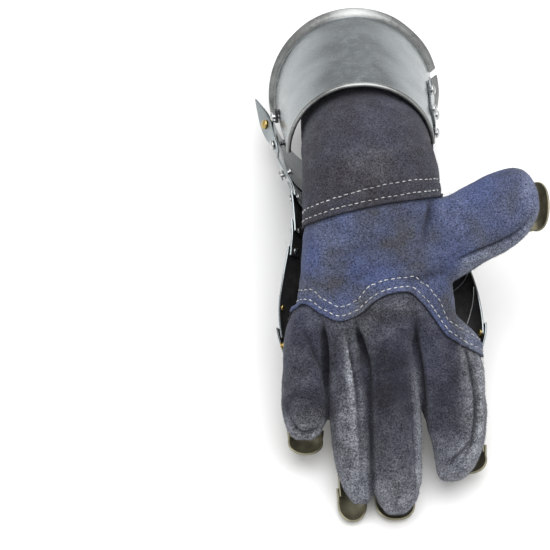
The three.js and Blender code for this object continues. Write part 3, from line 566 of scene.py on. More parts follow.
# Trunk, fingers and thumb joined into one closed skin of even quads.
def gloveBase():
    stations = np.arange(trunk["at"][0], trunk["at"][-1] + 0.5, glove["trunkStep"])
    bodies = [sectionRings(trunk, "at", stations, glove["trunkSides"], None, onHand(trunk))]
    for table in fingers.values():
        stations = np.linspace(table["at"][0], table["at"][-1], glove["stations"])
        bodies.append(sectionRings(table, "at", stations, glove["fingerSides"], glove["fingerSquare"],
                                   onHand(table)))
    stations = np.linspace(thumb["x"][0], thumb["x"][-1], glove["stations"])
    bodies.append(sectionRings(thumb, "x", stations, glove["thumbSides"], glove["thumbSquare"], onThumb))
    points, faces = [], []
    for rings in bodies:
        more, sides = tube(rings)
        start = sum(len(p) for p in points)
        points.append(more)
        faces += [tuple(start + i for i in face) for face in sides]
    obj = newObject("glove_base", np.concatenate(points), faces)
    turnOutwards(obj.data)
    modify(obj, "REMESH", mode="VOXEL", voxel_size=glove["voxel"] * mm, use_smooth_shade=True)
    modify(obj, "SMOOTH", factor=0.5, iterations=glove["smooth"])
    applyModifiers(obj)
    mesh = obj.data
    points, normals = np.empty(len(mesh.vertices) * 3), np.empty(len(mesh.vertices) * 3)
    mesh.vertices.foreach_get("co", points)
    mesh.vertices.foreach_get("normal", normals)
    mesh.calc_loop_triangles()
    triangles = np.empty(len(mesh.loop_triangles) * 3, int)
    mesh.loop_triangles.foreach_get("vertices", triangles)
    bpy.data.objects.remove(obj)
    return points.reshape(-1, 3) / mm, normals.reshape(-1, 3), triangles.reshape(-1, 3)


def seamAt(seam, x):
    return curveThrough(seam["x"], seam["at"], x)


# How far past the seam towards the fingers, square to its line.
def seamLevel(seam, at, x):
    slope = (seamAt(seam, x + 1) - seamAt(seam, x - 1)) / 2
    return (at - seamAt(seam, x)) / np.sqrt(1 + slope**2)


# Creases: a line of places across and along the palm, how deep it is pressed in, how wide.
# A negative depth is a welt, the raised edge of a side seam.
creases = [
    {"x": [-26, -25.5, -25, -24.5, -24], "at": [122, 130, 138, 150, 170],
     "deep": [1.0, 4, 6, 4, 0], "wide": 1.6},
    {"x": [-7, -4, -1, 2, 3, 4], "at": [122, 130, 142, 158, 186, 225],
     "deep": [0.8, 3.4, 5, 2, 0, 0], "wide": 1.5},
    {"x": [30, 31, 33, 35, 37], "at": [118, 132, 150, 170, 188], "deep": [0.8, 3.2, 4, 3, 0], "wide": 1.6},
    {"x": [-40, -36, -30, -22], "at": [120, 130, 143, 158], "deep": [0.4, 2.2, 2.4, 0.4], "wide": 2.2},
    {"x": [-12, -9, -6, -4, -3], "at": [128, 142, 160, 185, 220],
     "deep": [0.4, 2.6, 2.4, 2.0, 1.0], "wide": 1.5},
    {"x": [-20, -17, -13], "at": [140, 156, 176], "deep": [0.2, 1.0, 0.2], "wide": 3.0},
    {"x": [8, 11, 15, 18], "at": [112, 130, 150, 172], "deep": [0.2, 1.2, 1.2, 0.2], "wide": 3.0},
    {"x": [26, 27.5, 29, 30], "at": [150, 170, 195, 222], "deep": [0.4, 2.0, 2.2, 0.8], "wide": 1.2},
    {"x": [18, 17.5, 17], "at": [222, 230, 236], "deep": [0.3, 1.6, 1.2], "wide": 1.5},
    {"x": [59, 63.5, 66.5, 64, 58], "at": [132, 150, 172, 194, 208],
     "deep": [1.0, 2.6, 2.8, 2.6, 1.2], "wide": 1.3},
    {"x": [-49, -45, -38, -30, -25], "at": [172, 184, 190, 188, 180],
     "deep": [0.3, 2.0, 2.3, 2.0, 0.4], "wide": 1.2},
    {"x": [46, 52, 60, 66], "at": [214, 206, 199, 190], "deep": [0.4, 2.2, 2.2, 0.4], "wide": 1.3},
    {"x": [56, 64, 74, 84, 93, 99], "at": [84, 80.5, 76.5, 72, 66.5, 61],
     "deep": [0.8, 2.2, 2.2, 2.2, 2.0, 1.0], "wide": 1.2},
    {"x": [42, 40, 37, 34], "at": [46, 55, 66, 78], "deep": [0.6, 2.6, 2.0, 0.2], "wide": 2.6},
    {"x": [50, 42, 30, 14], "at": [92, 93, 96, 98], "deep": [0.4, 1.6, 1.4, 0.1], "wide": 3.4},
    {"x": [-30, -16, 0, 14], "at": [84, 79, 78, 80], "deep": [0.1, 1.1, 0.9, 0.1], "wide": 4.5},
    {"x": [-20, -8, 6, 20], "at": [104, 96, 92, 90], "deep": [0.1, 0.9, 0.8, 0.1], "wide": 3.6},
    {"x": [-12, -10.5, -9], "at": [130, 150, 175], "deep": [-0.3, -1.4, -0.5], "wide": 2.2},
    {"x": [69, 70.5, 69, 64], "at": [140, 160, 185, 203], "deep": [-0.5, -1.5, -1.5, -0.5], "wide": 1.9},
    {"x": [33, 33.5, 33], "at": [168, 190, 220], "deep": [-0.4, -1.4, -0.6], "wide": 1.7},
    {"x": [60, 76, 90, 100], "at": [86, 80, 74.5, 66], "deep": [-0.4, -1.1, -1.1, -0.5], "wide": 1.6},
    {"x": [-47, -38, -28], "at": [187, 195, 188], "deep": [-0.4, -1.3, -0.4], "wide": 1.8},
]
creaseOf = {"steps": 60, "reach": 12, "lowest": -4}

# Side panels and welts are paler along these lines.
paleFades = (10, 8)
paleStrips = [
    {"at": [146, 165, 190, 230], "x": [29.5, 31, 32.5, 32.5], "wide": 2.4, "much": 0.55},
    {"at": [136, 152, 175, 205], "x": [67, 69.5, 71, 66], "wide": 3.0, "much": 0.5},
    {"at": [128, 150, 175, 215], "x": [-11, -9.5, -8, -6], "wide": 3.0, "much": 0.3},
    {"at": [186, 192, 198, 206], "x": [60, 59, 58, 56], "wide": 3.5, "much": 0.45},
]
thumbPanel = {"x": [56, 64, 74, 84, 93, 101], "at": [84, 80.5, 76.5, 72, 66.5, 60], "much": 0.45,
              "from": (54, 62), "to": (104, 108), "edge": 1.5}

# Painted shade: where fingers and side panels meet, the suede is darkened along these lines, as shade in the
# gaps. It is also darker over these areas.
paintedShadeFades = (8, 6)
paintedShadeLines = [
    {"at": [124, 140, 160, 196], "x": [-26, -25, -24, -23.5], "wide": 1.9, "much": 0.95},
    {"at": [122, 142, 158, 186, 236], "x": [-7, -1, 2.3, 3.2, 3.4], "wide": 2.0, "much": 0.95},
    {"at": [120, 150, 170, 196], "x": [30, 33, 35, 38], "wide": 2.0, "much": 0.95},
    {"at": [150, 170, 195, 226], "x": [26, 27.5, 29, 29.5], "wide": 1.0, "much": 0.55},
    {"at": [134, 150, 172, 200], "x": [60, 63.5, 66.5, 63], "wide": 1.3, "much": 0.8},
]
darkAreas = [
    {"at": (118, 150, 205, 232), "x": (2, 8, 24, 32), "much": 0.42},
    {"at": (150, 165, 186, 204), "x": (37, 42, 58, 64), "much": 0.3},
]
wornEnds = {"fingers": (165, 232), "little": (168, 196), "littleInside": -24, "thumb": (88, 108)}
ringWorn = {"at": (140, 185), "x": (-22, -14, -4, 1), "much": 0.75}
wearAndSheenShare = {"ends": 0.6, "sideSheen": 0.25, "sideSheenFrom": 60, "patches": 0.3, "patchSize": 30, "welts": 0.5}


def creasePress(at, x, high):
    pressed = np.zeros(len(at))
    reach = creaseOf["reach"]
    for crease in creases:
        steps = np.linspace(0, len(crease["x"]) - 1, creaseOf["steps"])
        index = np.arange(len(crease["x"]))
        lineX, lineAt = curveThrough(index, crease["x"], steps), curveThrough(index, crease["at"], steps)
        deep = np.interp(steps, index, crease["deep"])
        nearX = (x > lineX.min() - reach) & (x < lineX.max() + reach)
        nearAt = (at > lineAt.min() - reach) & (at < lineAt.max() + reach)
        spots = np.flatnonzero(nearX & nearAt & (high > creaseOf["lowest"]))
        if len(spots) == 0:
            continue
        far = (x[spots, None] - lineX) ** 2 + (at[spots, None] - lineAt) ** 2
        best = np.argmin(far, axis=1)
        dist = np.sqrt(far[np.arange(len(spots)), best])
        press = deep[best] * np.exp(-(dist / crease["wide"]) ** 2)
        pressed[spots] = np.where(np.abs(press) > np.abs(pressed[spots]), press, pressed[spots])
    return pressed


# How strongly a line marks each point, faded towards its two ends.
def alongLine(line, at, x, fades):
    first, last = line["at"][0], line["at"][-1]
    near = np.exp(-((x - curveThrough(line["at"], line["x"], at)) / line["wide"]) ** 2)
    fadedIn = smoothStep(first, first + fades[0], at)
    return line["much"] * near * fadedIn * (1 - smoothStep(last - fades[1], last, at))


# Rises between the first two places and falls between the last two.
def within(places, value):
    return smoothStep(places[0], places[1], value) * (1 - smoothStep(places[2], places[3], value))


def darkOf(at, x):
    dark = np.zeros(len(at))
    for line in paintedShadeLines:
        dark = np.maximum(dark, alongLine(line, at, x, paintedShadeFades))
    for area in darkAreas:
        dark = np.maximum(dark, area["much"] * within(area["at"], at) * within(area["x"], x))
    return dark


# The wear mask: paler ends, strips, welts and random patches, plus painted sheen that pales the steep sides.
def wearAndSheenOf(points, normals, at, x, pressed):
    # Painted sheen: sides that turn away from straight up are made paler, as if their nap caught the light.
    sideSheen = (1 - np.clip(np.abs(normals[:, 2]), 0, 1)) ** 2
    little = smoothStep(*wornEnds["little"], at) * (x < wornEnds["littleInside"])
    ends = np.maximum(little, smoothStep(*wornEnds["thumb"], x))
    ends = np.maximum(ends, smoothStep(*wornEnds["fingers"], at))
    ends = np.maximum(ends, ringWorn["much"] * smoothStep(*ringWorn["at"], at) * within(ringWorn["x"], x))
    pale = np.zeros(len(at))
    for strip in paleStrips:
        pale = np.maximum(pale, alongLine(strip, at, x, paleFades))
    panel = smoothStep(0, thumbPanel["edge"], at - column(thumbPanel, "x", "at", x))
    pale = np.maximum(pale, thumbPanel["much"] * panel * within(thumbPanel["from"] + thumbPanel["to"], x))
    wearAndSheen = pale + ends * wearAndSheenShare["ends"] + sideSheen * wearAndSheenShare["sideSheen"] * (at > wearAndSheenShare["sideSheenFrom"])
    wearAndSheen += np.clip(ripple(points, wearAndSheenShare["patchSize"], 5), 0, 1) * wearAndSheenShare["patches"]
    wearAndSheen += np.clip(-pressed, 0, 1) * wearAndSheenShare["welts"]
    return np.clip(wearAndSheen, 0, 1)


def shapeGlove():
    points, normals, triangles = gloveBase()
    at, x, high = handPlace(points)
    levels = {name: seamLevel(seam, at, x) for name, seam in seams.items()}
    swell = sum(much * ripple(points, size, seed) for much, size, seed in lumps)
    pressed = creasePress(at, x, high)
    for level in levels.values():
        for row in glove["rows"]:
            pressed += glove["rowDeep"] * np.exp(-((level - row) / glove["rowWide"]) ** 2)
    moved = points + normals * (glove["swell"] + swell - pressed)[:, None]
    # Painted shade: the shade mask grows with the depth of creases and seam grooves and takes the dark lines
    # and areas.
    shade = np.clip(np.maximum((pressed - 0.3) / 3.0, darkOf(at, x)), 0, 0.85)
    return {"points": moved, "normals": normals, "triangles": triangles, "at": at, "high": high,
            "wearAndSheen": wearAndSheenOf(points, normals, at, x, pressed), "shade": shade, **levels}


# Moves the points nearest the level's zero line onto it, so that faces can be kept by side.
def cutAt(points, triangles, level):
    points, level = points.copy(), level.copy()
    edges = np.concatenate([triangles[:, [0, 1]], triangles[:, [1, 2]], triangles[:, [2, 0]]])
    crossing = edges[level[edges[:, 0]] * level[edges[:, 1]] < 0]
    a, b = crossing[:, 0], crossing[:, 1]
    t = level[a] / (level[a] - level[b])
    moving, other, share = np.where(t < 0.5, a, b), np.where(t < 0.5, b, a), np.where(t < 0.5, t, 1 - t)
    target = points[moving] + (points[other] - points[moving]) * share[:, None]
    order = np.argsort(-share)
    points[moving[order]] = target[order]
    level[moving] = 0
    return points, level


def edgeLift(level):
    return glove["edgeRaise"] * (1 - smoothStep(0, glove["edgeWide"], level))


def tuckedUnder(level, reach):
    return 1 - smoothStep(glove["under"] - 0.5, glove["under"] + reach, level)


# Keeps the skin where every level is positive, raises or sinks its edges and gives it a wall. Where its edge
# tucks under the piece above, it paints shadow.
def cutPiece(name, skin, cuts, material, node):
    points, triangles = skin["points"], skin["triangles"]
    keep = np.ones(len(triangles), bool)
    offset = np.zeros(len(points))
    shade = skin["shade"]
    for uncut, kind in cuts:
        points, level = cutAt(points, triangles, uncut)
        keep &= level[triangles].sum(axis=1) > 0
        if kind == "over":
            offset += edgeLift(level)
        if kind == "under":
            offset -= glove["underSink"] * tuckedUnder(level, 7)
            # Painted shadow: the skin just past the seam, under the edge of the piece above, is darkened.
            shade = np.maximum(shade, 0.8 * tuckedUnder(uncut, 2.2))
    points = points + skin["normals"] * offset[:, None]
    used, faces = np.unique(triangles[keep], return_inverse=True)
    obj = newObject(name, points[used], faces.reshape(-1, 3).tolist())
    for mask, values in (("wearAndSheen", skin["wearAndSheen"]), ("shade", shade)):
        layer = obj.data.attributes.new(mask, "FLOAT", "POINT")
        layer.data.foreach_set("value", values[used])
    modify(obj, "SOLIDIFY", thickness=glove["wall"] * mm, offset=-1.0)
    applyModifiers(obj)
    finishPiece(obj, [material], "suede", node)


skin = shapeGlove()
print("glove skin", len(skin["points"]), "points")
sleeveCuts = [(skin["at"] - glove["mouthAt"], "open"), (-skin["wrist"], "over")]
palmCuts = [(skin["wrist"] + glove["under"], "under"), (-skin["finger"], "over")]
fingerCuts = [(skin["finger"] + glove["under"], "under")]
cutPiece("suede_sleeve", skin, sleeveCuts, sleeveSuede, "glove_sleeve")
cutPiece("suede_palm", skin, palmCuts, palmSuede, "glove_palm_and_thumb")
cutPiece("suede_fingers", skin, fingerCuts, fingerSuede, "glove_fingers")
print("glove pieces cut")

# Thread loops sewn through the edge that lies on top.
stitch = {
    "long": 2.9, "gap": 1.1, "thick": 0.34, "sides": 6, "rings": 6,
    "walk": 900, "startX": 75, "startHigh": 60,
}


# Points and normals on the skin along a row beside a seam, walked round the hand.
def seamWalk(tree, seam, row):
    places = []
    for turn in np.radians(np.linspace(*seam["sewn"], stitch["walk"])):
        guess = 0.0
        for _ in range(4):
            slope = (seamAt(seam, guess + 1) - seamAt(seam, guess - 1)) / 2
            at = float(seamAt(seam, guess) + row * math.sqrt(1 + float(slope) ** 2))
            middle = float(column(trunk, "at", "x", at))
            aside, high = stitch["startX"] * math.cos(turn), stitch["startHigh"] * math.sin(turn)
            start, target = handPoint(at, middle + aside, high), handPoint(at, middle, 0.0)
            hit = tree.ray_cast(Vector(start), Vector(target - start))
            if hit[0] is None:
                break
            guess = hit[0][0] + hand["centreX"]
        if hit[0] is not None:
            places.append((np.array(hit[0]), np.array(hit[1])))
    return places


# Rounded thread loops laid along the places, dipping into the suede at both ends.
def stitchesAlong(places):
    line = np.array([p for p, _ in places])
    ups = np.array([n for _, n in places])
    length = np.concatenate([[0], np.cumsum(np.linalg.norm(np.diff(line, axis=0), axis=1))])
    points, faces = [], []
    pitch = stitch["long"] + stitch["gap"]
    chance = random.Random(5)
    sides, rings = stitch["sides"], stitch["rings"]
    loopFaces = tube(np.zeros((rings, sides, 3)))[1]
    for k in range(int(length[-1] / pitch)):
        start = k * pitch + chance.uniform(-0.25, 0.25)
        long = stitch["long"] * chance.uniform(0.85, 1.08)
        aside = chance.uniform(-0.18, 0.18)
        base = len(points)
        where = start + np.linspace(0, 1, rings) * long
        if where[0] < 0 or where[-1] > length[-1]:
            continue
        path = np.stack([np.interp(where, length, line[:, i]) for i in range(3)], axis=1)
        normal = np.stack([np.interp(where, length, ups[:, i]) for i in range(3)], axis=1)
        way = path[-1] - path[0]
        if np.linalg.norm(way) < 0.5 * long:
            continue
        way = way / np.linalg.norm(way)
        for i in range(rings):
            arch = math.sin(math.pi * (i / (rings - 1)))
            up = normal[i] / np.linalg.norm(normal[i])
            across = np.cross(way, up)
            thick = stitch["thick"] * (0.55 + 0.45 * arch) * chance.uniform(0.92, 1.08)
            middle = path[i] + up * (-0.25 + 0.62 * arch) + across * aside
            for j in range(sides):
                turn = 2 * math.pi * j / sides
                points.append(middle + across * thick * math.cos(turn) + up * thick * 0.85 * math.sin(turn))
        faces += [tuple(base + v for v in face) for face in loopFaces]
    return points, faces


def sewSeams():
    raised = sum(edgeLift(-skin[name]) * (skin[name] < 0) for name in seams)
    moved = skin["points"] + skin["normals"] * raised[:, None]
    corners = [tuple(t) for t in skin["triangles"].tolist()]
    tree = BVHTree.FromPolygons([tuple(p) for p in moved.tolist()], corners)
    for name, seam in seams.items():
        for i, row in enumerate(glove["rows"]):
            points, faces = stitchesAlong(seamWalk(tree, seam, row))
            obj = newObject(f"stitches_{name}_{i + 1}", points, faces)
            turnOutwards(obj.data)
            finishPiece(obj, [threadGrey], "suede")


sewSeams()
print("seams sewn")

# Short fibres that stand up from the worn ends, the welts and the sides of the suede.
nap = {
    "count": 15000, "long": (0.5, 1.5), "thick": 0.07, "lean": 0.9, "root": 0.2,
    "least": 0.15, "wearAndSheen": 1.2, "fromAt": -30, "fromHigh": -8,
}


def raiseNap():
    chance = random.Random(11)
    points, normals, triangles = skin["points"], skin["normals"], skin["triangles"]
    middle = triangles[:, 0]
    weight = nap["least"] + nap["wearAndSheen"] * skin["wearAndSheen"][middle] ** 1.5
    weight *= (skin["at"][middle] > nap["fromAt"]) & (skin["high"][middle] > nap["fromHigh"])
    total = np.cumsum(weight)
    verts, faces = [], []
    for _ in range(nap["count"]):
        a, b, c = triangles[int(np.searchsorted(total, chance.random() * total[-1]))]
        u, v = chance.random(), chance.random()
        if u + v > 1:
            u, v = 1 - u, 1 - v
        spot = points[a] * (1 - u - v) + points[b] * u + points[c] * v
        up = normals[a] + np.array([chance.uniform(-nap["lean"], nap["lean"]) for _ in range(3)])
        up = up / np.linalg.norm(up)
        side = np.cross(up, [0.3, 0.5, 0.8])
        side = side / np.linalg.norm(side) * nap["thick"]
        other = np.cross(up, side)
        low = spot - up * nap["root"]
        start = len(verts)
        verts += [low + side, low - side * 0.5 + other * 0.87, low - side * 0.5 - other * 0.87,
                  spot + up * chance.uniform(*nap["long"])]
        faces += [(start, start + 2, start + 1), (start, start + 1, start + 3),
                  (start + 1, start + 2, start + 3), (start + 2, start, start + 3)]
    finishPiece(newObject("raised_nap", verts, faces), [napFibre], "suede")


raiseNap()
print("nap raised")

# The two halves of the cuff: the degrees they cover at the wrist and at the rim.
cuffHalves = {
    "palm": {"wrist": (6, 182), "rim": (18, 196), "beaded": True, "wider": 0.0, "node": "cuff_palm_plate"},
    "back": {"wrist": (199, 361), "rim": (199, 373), "beaded": False, "wider": cuff["backWider"],
             "node": "cuff_back_plate"},
}
ground = 0.05


def arc(cx, cy, radius, start, end, count):
    turns = np.radians(np.linspace(start, end, count))
    return [(cx + radius * math.cos(t), cy + radius * math.sin(t)) for t in turns]


# The cut edge of the wall: rolled bead or plain end at the wrist, wall, turned lip, beaded rim.
def cuffProfile(beaded):
    plate, bead = cuff["plate"], cuff["wristBead"]
    middles = list(np.linspace(4, wallEnd - 3, 26))
    rolled = arc(-0.3, bead - 0.6, bead, -38, -346, 20)
    start = rolled if beaded else [(-6.0, 0.0), (-6.25, 0.6), (-6.0, plate)]
    turned = [(wallEnd - 0.6, plate + 0.05), (wallEnd + 0.3, plate + 0.6), (wallEnd + 1.2, plate + 1.9)]
    rim = arc(cuff["length"], plate / 2 + cuff["lipOut"], cuff["bead"], 140, -70, 12)
    inner = [(wallEnd + 2.2, 2.0), (wallEnd + 1.2, 0.7), (wallEnd + 0.2, 0.1)]
    return start + [(v, plate) for v in middles] + turned + rim + inner + [(v, 0.0) for v in middles[::-1]]


def cuffHalf(name, half):
    profile = np.array(cuffProfile(half["beaded"]))
    count = 130
    u = np.linspace(0, 1, count)
    t = np.clip(profile[:, 0] / cuff["length"], 0, 1)
    first = half["wrist"][0] + (half["rim"][0] - half["wrist"][0]) * t
    last = half["wrist"][1] + (half["rim"][1] - half["wrist"][1]) * t
    turn = first[None] + (last - first)[None] * u[:, None]
    along, off = np.broadcast_to(profile[:, 0], turn.shape), np.broadcast_to(profile[:, 1], turn.shape)
    rings = cuffPoint(along, off, turn, half["wider"])
    uneven = 0.28 * ripple(rings, 24, 8) + 0.1 * ripple(rings, 9, 9)
    rings = cuffPoint(along, off + uneven, turn, half["wider"])
    rings[..., 2] = np.maximum(rings[..., 2], ground)
    obj = tubeObject(name, rings)
    obj.data.set_sharp_from_angle(angle=math.radians(sharpFrom["cuff"]))
    # The lip and the wrist bead take the lighter steel, a painted highlight.
    edges = (profile[:, 0] > wallEnd - 1) | ((profile[:, 0] < 3) if half["beaded"] else False)
    sides = len(profile)
    marks = [int(edges[k % sides] and edges[(k + 1) % sides]) for k in range(sides * (count - 1))]
    obj.data.polygons.foreach_set("material_index", marks + [0, 0])
    finishPiece(obj, (brightSteel, highlightSteel), "polished_steel", half["node"])


for side, half in cuffHalves.items():
    cuffHalf("fine_cuff_" + side, half)
print("cuff built")

# Plates over the back: the rows each one covers. Each rises towards the wrist, over the next one.
backPlates = {
    "turn": 9, "span": 162, "rise": 2.5, "rowsEach": 22, "columns": 90,
}
backPieces = {
    "wrist_lame_1": (0.55, 2.2), "wrist_lame_2": (1.8, 3.2), "wrist_lame_3": (2.8, 4.2),
    "hand_plate": (3.8, 7.1), "knuckle_plate": (6.7, 8.0),
}


def backPlate(name, start, stop):
    def place(u, v, off):
        row, turn = start + (stop - start) * u, backPlates["turn"] + backPlates["span"] * v
        rise = backPlates["rise"] * (1 - u) + off
        even = backPoint(row, turn, rise)
        return backPoint(row, turn, rise + 0.22 * ripple(even, 18, 12) - 0.1 * ripple(even, 8, 13))

    us = np.linspace(0, 1, int(backPlates["rowsEach"] * (stop - start)) + 4)
    vs = np.linspace(0, 1, backPlates["columns"])
    lining = brightSteel if name == "wrist_lame_1" else insideSteel
    obj = plateSheet("fine_" + name, us, vs, place, cuff["plate"], (brightSteel, lining))
    finishPiece(obj, [], "polished_steel", name)


for name, (start, stop) in backPieces.items():
    backPlate(name, start, stop)
print("back plates built")

# Overlapping plates under each finger and the thumb, on a leather strip. The last one closes round the tip.
scaleRows = {
    "little": {"count": 3, "first": 145, "last": 201.5, "lean": 0, "roll": 0},
    "ring": {"count": 4, "first": 145, "last": 242, "lean": 0, "roll": 0},
    "middle": {"count": 4, "first": 145, "last": 241, "lean": 0, "roll": 0},
    "index": {"count": 3, "first": 145, "last": 213, "lean": 5, "roll": 10},
    "thumb": {"count": 3, "first": 60, "last": 115, "lean": 0, "roll": 0},
}
scale = {
    "inset": -1.8, "open": 40, "tipOpen": 22, "rise": 2.3, "under": 3.4, "thumbUnder": 0.8, "lap": 1.26,
    "strap": 1.8, "pole": 0.42, "closeFrom": 0.4, "square": 2.2, "columns": 40,
    "tipRows": 34,
}
partRows = {
    "little": {"at": [118, 136, 152, 170, 185], "x": [-34, -38, -37.5, -36.3, -36.5],
               "half": [12, 12.3, 13, 14.3, 13], "down": [13, 12, 12, 11, 10]},
    "ring": {"at": [118, 140, 165, 190, 215], "x": [-16, -14.5, -11.2, -9.6, -8],
             "half": [14, 12.5, 11.5, 11.1, 10.6], "down": [13, 12, 12, 11, 10]},
    "middle": {"at": [118, 140, 165, 190, 215], "x": [8, 12.5, 16.5, 17.8, 18.3],
               "half": [17, 16.5, 15.5, 15, 14.7], "down": [13, 12, 12, 11, 10]},
    "index": {"at": [118, 136, 152, 175, 195], "x": [42, 53, 52.5, 56, 57.5],
              "half": [16, 20, 21, 18.5, 15.5], "down": [12, 12, 12, 12, 11]},
}
thumbPart = {
    "x": [50, 62, 77, 90, 100], "at": [70.2, 64.8, 57.4, 51.3, 48.2], "half": [27.3, 26.3, 25, 23.3, 20],
    "down": [13, 13, 13, 12, 11], "lift": [2, 4, 6, 7, 8],
}
thumbSpan = {"near": 62, "far": 96, "last": 101}


def linear(table, key, name, at):
    return np.interp(at, table[key], table[name])


def closingTo(closing):
    return np.sqrt(np.maximum(1 - (closing * 0.99999) ** 2.1, 0))


# The drop below the mid-plane: a trough that shrinks to a point under the fingertip.
def dropOf(deep, s, small):
    return deep * s * small + deep * scale["pole"] * (1 - small)


def thumbTrough(x, turn, off, closing):
    t = (np.minimum(x, thumbSpan["last"]) - thumbSpan["near"]) / (thumbSpan["far"] - thumbSpan["near"])

    def between(name):
        near, far = (float(linear(thumbPart, "x", name, thumbSpan[end])) for end in ("near", "far"))
        return near + (far - near) * t

    small = closingTo(closing)
    half = (between("half") + scale["inset"] + off) * small
    deep = between("down") + scale["under"] + scale["thumbUnder"] + off
    c, s = superPoint(np.radians(turn), scale["square"])
    return handPoint(between("at") - half * c, x + off * closing, between("lift") - dropOf(deep, s, small))


def troughOf(name):
    if name == "thumb":
        return thumbTrough
    row, table = scaleRows[name], partRows[name]
    inset = scale["inset"] - 1 if row["roll"] else scale["inset"]

    def place(at, turn, off, closing):
        spot = np.minimum(at, table["at"][-1])
        small = closingTo(closing)
        half = (linear(table, "at", "half", spot) + inset + off) * small
        deep = linear(table, "at", "down", spot) + scale["under"] + off
        c, s = superPoint(np.radians(turn - row["roll"]), scale["square"])
        lean = row["lean"] * (at - row["first"]) / (row["last"] - row["first"])
        x = linear(table, "at", "x", spot) + lean + half * c
        return handPoint(at + off * closing, x, -dropOf(deep, s, small))
    return place


# Squeezes a mesh in height so that it rests on the ground instead of passing through it.
def restOnGround(mesh):
    coords = np.empty(3 * len(mesh.vertices))
    mesh.vertices.foreach_get("co", coords)
    top, low, level = coords[2::3].max(), coords[2::3].min(), ground * mm
    if low < level:
        coords[2::3] = top - (top - coords[2::3]) * (top - level) / (top - low)
    mesh.vertices.foreach_set("co", coords)


def scalePlate(name, index):
    row, trough = scaleRows[name], troughOf(name)
    length = (row["last"] - row["first"]) / (row["count"] + 1)
    tip = index == row["count"]
    start = row["first"] + length * index
    stop = row["last"] if tip else start + length * scale["lap"]
    openFrom, closeFrom = scale["open"], scale["closeFrom"]

    def place(u, v, off):
        closing = np.maximum((u - closeFrom) / (1 - closeFrom), 0) if tip else np.zeros_like(u)
        opening = openFrom + (scale["tipOpen"] - openFrom) * closing
        shut = 180 - (openFrom if row["lean"] else opening)
        along = start + (stop - start) * u
        turn = opening + (shut - opening) * v
        rise = scale["rise"] * (1 - u) + off
        points = trough(along, turn, rise, closing)
        return trough(along, turn, rise + 0.12 * ripple(points, 9, index + 20), closing)

    us = np.linspace(0, 1, 10)
    if tip:
        rounding = np.sin(np.linspace(0, math.pi / 2, scale["tipRows"]))[1:]
        us = np.concatenate([np.linspace(0, closeFrom, 8), closeFrom + (1 - closeFrom) * rounding])
    vs = np.linspace(0, 1, scale["columns"])
    node = f"{name}_scale_{index + 1}"
    # The finger plates take the darker steel, which paints shade and dark reflection.
    obj = plateSheet("fine_" + node, us, vs, place, cuff["plate"], (shadedSteel, shadedSteel), 0.22)
    restOnGround(obj.data)
    finishPiece(obj, [], "dark_steel", node)


def leatherStrip(name):
    row, trough = scaleRows[name], troughOf(name)
    start, stop = row["first"] + 2, row["first"] + 0.78 * (row["last"] - row["first"])

    def place(u, v, off):
        return trough(start + (stop - start) * u, 68 + 44 * v, off - scale["strap"] - 0.6, np.zeros_like(u))

    us, vs = np.linspace(0, 1, 30), np.linspace(0, 1, 8)
    leathers = (blackLeather, blackLeather)
    obj = plateSheet("soft_" + name + "_strip", us, vs, place, scale["strap"], leathers, 0.5)
    finishPiece(obj, [], "black_leather", name + "_strip")


for name, row in scaleRows.items():
    for index in range(row["count"] + 1):
        scalePlate(name, index)
    leatherStrip(name)
print("finger plates built")

# Rivets with a domed head outside and a flat tail inside.
rivet = {"shank": 1.5, "head": 3.3, "dome": 2.0, "tail": 2.5, "tailHigh": 0.8, "sides": 28}


def lathe(path, point, axis, sides):
    axis = np.asarray(axis) / np.linalg.norm(axis)
    side = np.cross(axis, [0, 0, 1] if abs(axis[2]) < 0.9 else [1, 0, 0])
    side = side / np.linalg.norm(side)
    turns = np.linspace(0, 2 * math.pi, sides, endpoint=False)
    around = np.cos(turns)[:, None] * side + np.sin(turns)[:, None] * np.cross(axis, side)
    return np.array([np.asarray(point) + axis * z + around * max(r, 0.02) for r, z in path])


def domePath(inside, outside, head, dome):
    tail = -inside - rivet["tailHigh"]
    turns = np.linspace(0, math.pi / 2, 9)
    cap = [(head * math.cos(t), outside + 0.35 + (dome - 0.35) * math.sin(t)) for t in turns]
    wide = rivet["tail"]
    washer = [(0.02, tail), (wide * 0.8, tail), (wide, tail + 0.25), (wide, -inside)]
    shank = [(rivet["shank"], -inside), (rivet["shank"], outside)]
    return washer + shank + [(head * 0.97, outside), (head, outside + 0.15)] + cap


def rivetPiece(name, point, axis, inside, outside, metal, node=None, head=rivet["head"], dome=rivet["dome"]):
    obj = tubeObject(name, lathe(domePath(inside, outside, head, dome), point, axis, rivet["sides"]))
    obj.data.set_sharp_from_angle(angle=math.radians(sharpFrom["rivet"]))
    slotName = "brass" if metal is rivetBrass else "polished_steel"
    finishPiece(obj, [metal], slotName, *([node] if node else []))


pivot = {"turn": 22, "stack": 1.95, "inside": 2.5, "insideFirst": 4.1, "outside": 2.3}


def onPivot(row, turn):
    return backPoint(row, turn, pivot["stack"])


for i, row in enumerate((1, 2, 3, 4)):
    for side, turn in (("left", 180 - pivot["turn"]), ("right", pivot["turn"])):
        inside = pivot["insideFirst"] if i == 0 else pivot["inside"]
        rivetPiece(f"round_lame_{side}_{i + 1}", onPivot(row, turn), outwardOf(onPivot, row, turn), inside,
                   pivot["outside"], rivetSteel, f"lame_rivet_{side}_{i + 1}")

hinge = {"from": 25, "to": 59, "rivetTurn": 9.5, "turnWrist": 3.5, "turnRim": 15.5, "firstIn": 5, "lastIn": 6}
hingeSides = {"palm": {"side": 1, "wider": 0.0}, "back": {"side": -1, "wider": cuff["backWider"]}}


def hingeTurn(along):
    return hinge["turnWrist"] + (hinge["turnRim"] - hinge["turnWrist"]) * along / cuff["length"]


